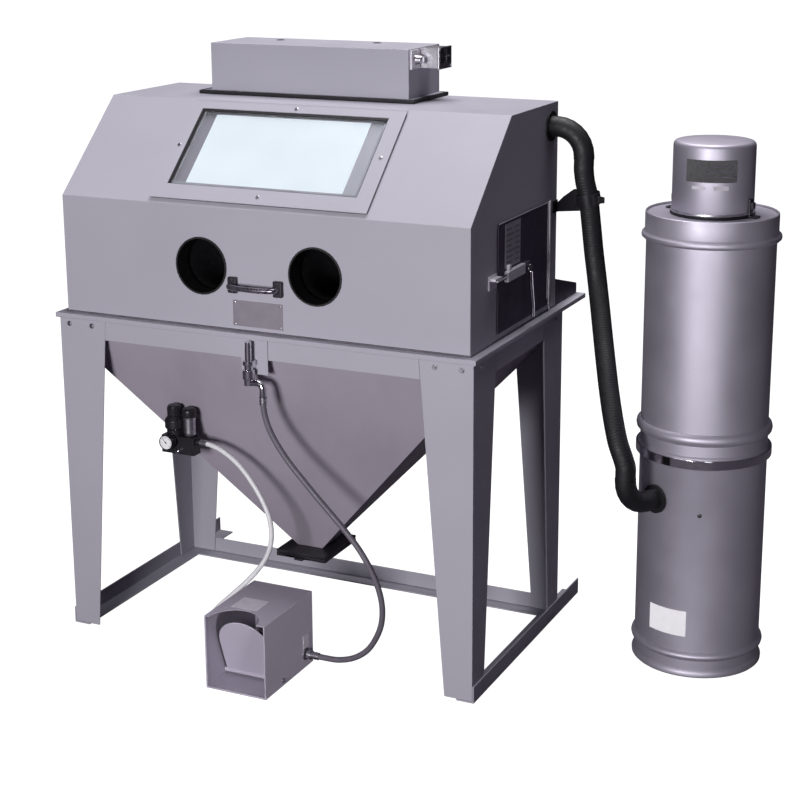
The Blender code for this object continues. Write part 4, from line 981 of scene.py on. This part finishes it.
def drum():
    r = 0.149
    lower = [(0.0, 0.004), (r - 0.006, 0.004), (r - 0.002, 0.0005), (r + 0.003, 0.0), (r + 0.0055, 0.0025),
             (r + 0.006, 0.009), (r + 0.0035, 0.0145), (r, 0.0185), (r, 0.041), (r + 0.003, 0.0435),
             (r + 0.0068, 0.047), (r + 0.008, 0.0515), (r + 0.0068, 0.056), (r + 0.003, 0.0595), (r, 0.062),
             (r, 0.513), (r + 0.0015, 0.5165), (r + 0.0038, 0.519), (r + 0.004, 0.5285),
             (r - 0.0015, 0.5285), (r - 0.0015, 0.006), (0.0, 0.006)]
    shape = lathe([(max(a, 0.0005), b) for a, b in lower], DRUM, steps=128)
    add("drum_lower_finish", shape, drum_paint(), smooth=38,
        replaces=("drum_lower",))
    z = 0.5293
    upper = [(r + 0.004, z), (r + 0.004, z + 0.010), (r + 0.002, z + 0.0135), (r, z + 0.016), (r, 0.5705),
             (r + 0.004, 0.5735), (r + 0.0085, 0.578), (r + 0.010, 0.585), (r + 0.0085, 0.592),
             (r + 0.004, 0.5965), (r, 0.599), (r, 1.060), (r - 0.0015, 1.060), (r - 0.0015, z)]
    add("drum_upper_finish", lathe(upper, DRUM, steps=128, ring=True), drum_paint(), smooth=38,
        replaces=("drum_upper",))
    rim = r + 0.0035
    lid = [(r + 0.0003, 1.030), (r + 0.006, 1.0305), (r + 0.0103, 1.0345), (r + 0.011, 1.038),
           (r + 0.0103, 1.0425), (r + 0.006, 1.0465), (rim, 1.050), (rim, 1.088), (rim - 0.0006, 1.0915),
           (rim - 0.0025, 1.093), (rim - 0.0045, 1.0912), (rim - 0.006, 1.0878), (0.060, 1.0875),
           (0.060, 1.0860), (r + 0.0003, 1.0860)]
    add("drum_lid_finish", lathe(lid, DRUM, steps=128, ring=True), drum_paint(), smooth=38,
        replaces=("drum_lid",))
    refined("clamp_ring", chrome(), 0.0012, 3)
    dome = [(0.0005, 1.0935), (0.0930, 1.0935), (0.0935, 1.0950), (0.0935, 1.2440), (0.0932, 1.2475),
            (0.0922, 1.2505), (0.0905, 1.2530), (0.0880, 1.2550), (0.0845, 1.2562), (0.0640, 1.2584),
            (0.0450, 1.2598), (0.0200, 1.2611), (0.0005, 1.2615)]
    add("vacuum_head_finish", lathe(dome, DRUM, steps=128), drum_paint(), smooth=38,
        replaces=("vacuum_head",))


drum()
drum_fittings()


# ---------------------------------------------------------------- floor and light

def reach_only(lamp, starts):
    """This lamp lights only the pieces whose names start so."""
    lit = bpy.data.collections.new(lamp.name + "_pieces")
    for piece in bpy.data.objects:
        if piece.type == "MESH" and piece.name.startswith(starts):
            lit.objects.link(piece)
    lamp.light_linking.receiver_collection = lit


def area_light(name, place, target, size, power, colour=(1, 1, 1), size_y=None):
    data = bpy.data.lights.new(name, "AREA")
    data.shape = "RECTANGLE"
    data.size = size
    data.size_y = size_y or size
    data.energy = power
    data.color = colour
    obj = bpy.data.objects.new(name, data)
    obj.location = place
    obj.rotation_euler = (Vector(target) - Vector(place)).to_track_quat("-Z", "Y").to_euler()
    bpy.context.scene.collection.objects.link(obj)
    return obj


NEAR_WHITE = (1.0, 0.985, 1.0)


def white_world(scene):
    """A world that the camera sees white and that lights the shadows with a dim violet."""
    world = bpy.data.worlds.new("studio")
    scene.world = world
    world.use_nodes = True
    tree = world.node_tree
    out = tree.nodes["World Output"]
    seen = tree.nodes["Background"]
    seen.inputs["Color"].default_value = (1.0, 1.0, 1.0, 1.0)
    dim = tree.nodes.new("ShaderNodeBackground")
    dim.inputs["Color"].default_value = (0.62, 0.52, 0.78, 1.0)
    dim.inputs["Strength"].default_value = 0.05
    path = tree.nodes.new("ShaderNodeLightPath")
    mix = tree.nodes.new("ShaderNodeMixShader")
    link(tree, path.outputs["Is Camera Ray"], mix.inputs["Fac"])
    link(tree, dim.outputs["Background"], mix.inputs[1])
    link(tree, seen.outputs["Background"], mix.inputs[2])
    link(tree, mix.outputs["Shader"], out.inputs["Surface"])


def pale_floor(scene):
    """A floor that the camera sees near white and that bounces little light."""
    floor = skin([[(-30, -30, -0.02), (30, -30, -0.02), (30, 30, -0.02), (-30, 30, -0.02)],
                  [(-30, -30, -0.0005), (30, -30, -0.0005), (30, 30, -0.0005), (-30, 30, -0.0005)]])
    mesh = bpy.data.meshes.new("floor")
    bmesh.ops.recalc_face_normals(floor, faces=floor.faces)
    floor.to_mesh(mesh)
    floor.free()
    obj = bpy.data.objects.new("floor", mesh)
    scene.collection.objects.link(obj)
    pale = surface("pale_floor", (0.9, 0.9, 0.9), rough=(0.8, 0.9), vary=0.01)
    tree = pale.node_tree
    shader = tree.nodes["Principled BSDF"]
    glowing = tree.nodes.new("ShaderNodeEmission")
    glowing.inputs["Color"].default_value = (1.0, 1.0, 1.0, 1.0)
    glowing.inputs["Strength"].default_value = 1.4
    dark = tree.nodes.new("ShaderNodeBsdfDiffuse")
    dark.inputs["Color"].default_value = (0.10, 0.09, 0.11, 1.0)
    path = tree.nodes.new("ShaderNodeLightPath")
    blend_seen = tree.nodes.new("ShaderNodeMixShader")
    blend_seen.inputs["Fac"].default_value = 0.75
    link(tree, shader.outputs["BSDF"], blend_seen.inputs[1])
    link(tree, glowing.outputs["Emission"], blend_seen.inputs[2])
    whole = tree.nodes.new("ShaderNodeMixShader")
    link(tree, path.outputs["Is Camera Ray"], whole.inputs["Fac"])
    link(tree, dark.outputs["BSDF"], whole.inputs[1])
    link(tree, blend_seen.outputs["Shader"], whole.inputs[2])
    link(tree, whole.outputs["Shader"], tree.nodes["Material Output"].inputs["Surface"])
    obj.data.materials.append(pale)


def studio():
    """A white world, a pale floor, a key light in front, one above, and fills for the pedal and the drum."""
    scene = bpy.context.scene
    white_world(scene)
    pale_floor(scene)
    centre = (0.0, 0.0, 0.7)
    area_light("key", (0.12, -4.4, 1.35), centre, 0.9, 150, NEAR_WHITE)
    area_light("top", (-0.1, 0.7, 4.2), (0.0, 0.1, 0.7), 2.2, 135, (1.0, 0.98, 1.0))
    low_right = area_light("low_right", (2.3, -1.9, 0.30), (0.05, -0.15, 0.08), 0.5, 3.0, (1.0, 0.97, 1.0))
    low_right.data.spread = math.radians(60)
    reach_only(low_right, ("pedal", "treadle"))
    drum_fill = area_light("drum_light", (2.15, -3.2, 0.80), DRUM + Vector((0, 0, 0.45)), 0.7, 46,
                           NEAR_WHITE, size_y=2.1)
    reach_only(drum_fill, ("drum_", "vacuum_head", "clamp_ring", "lid_"))
    scene.view_settings.view_transform = "Standard"


studio()
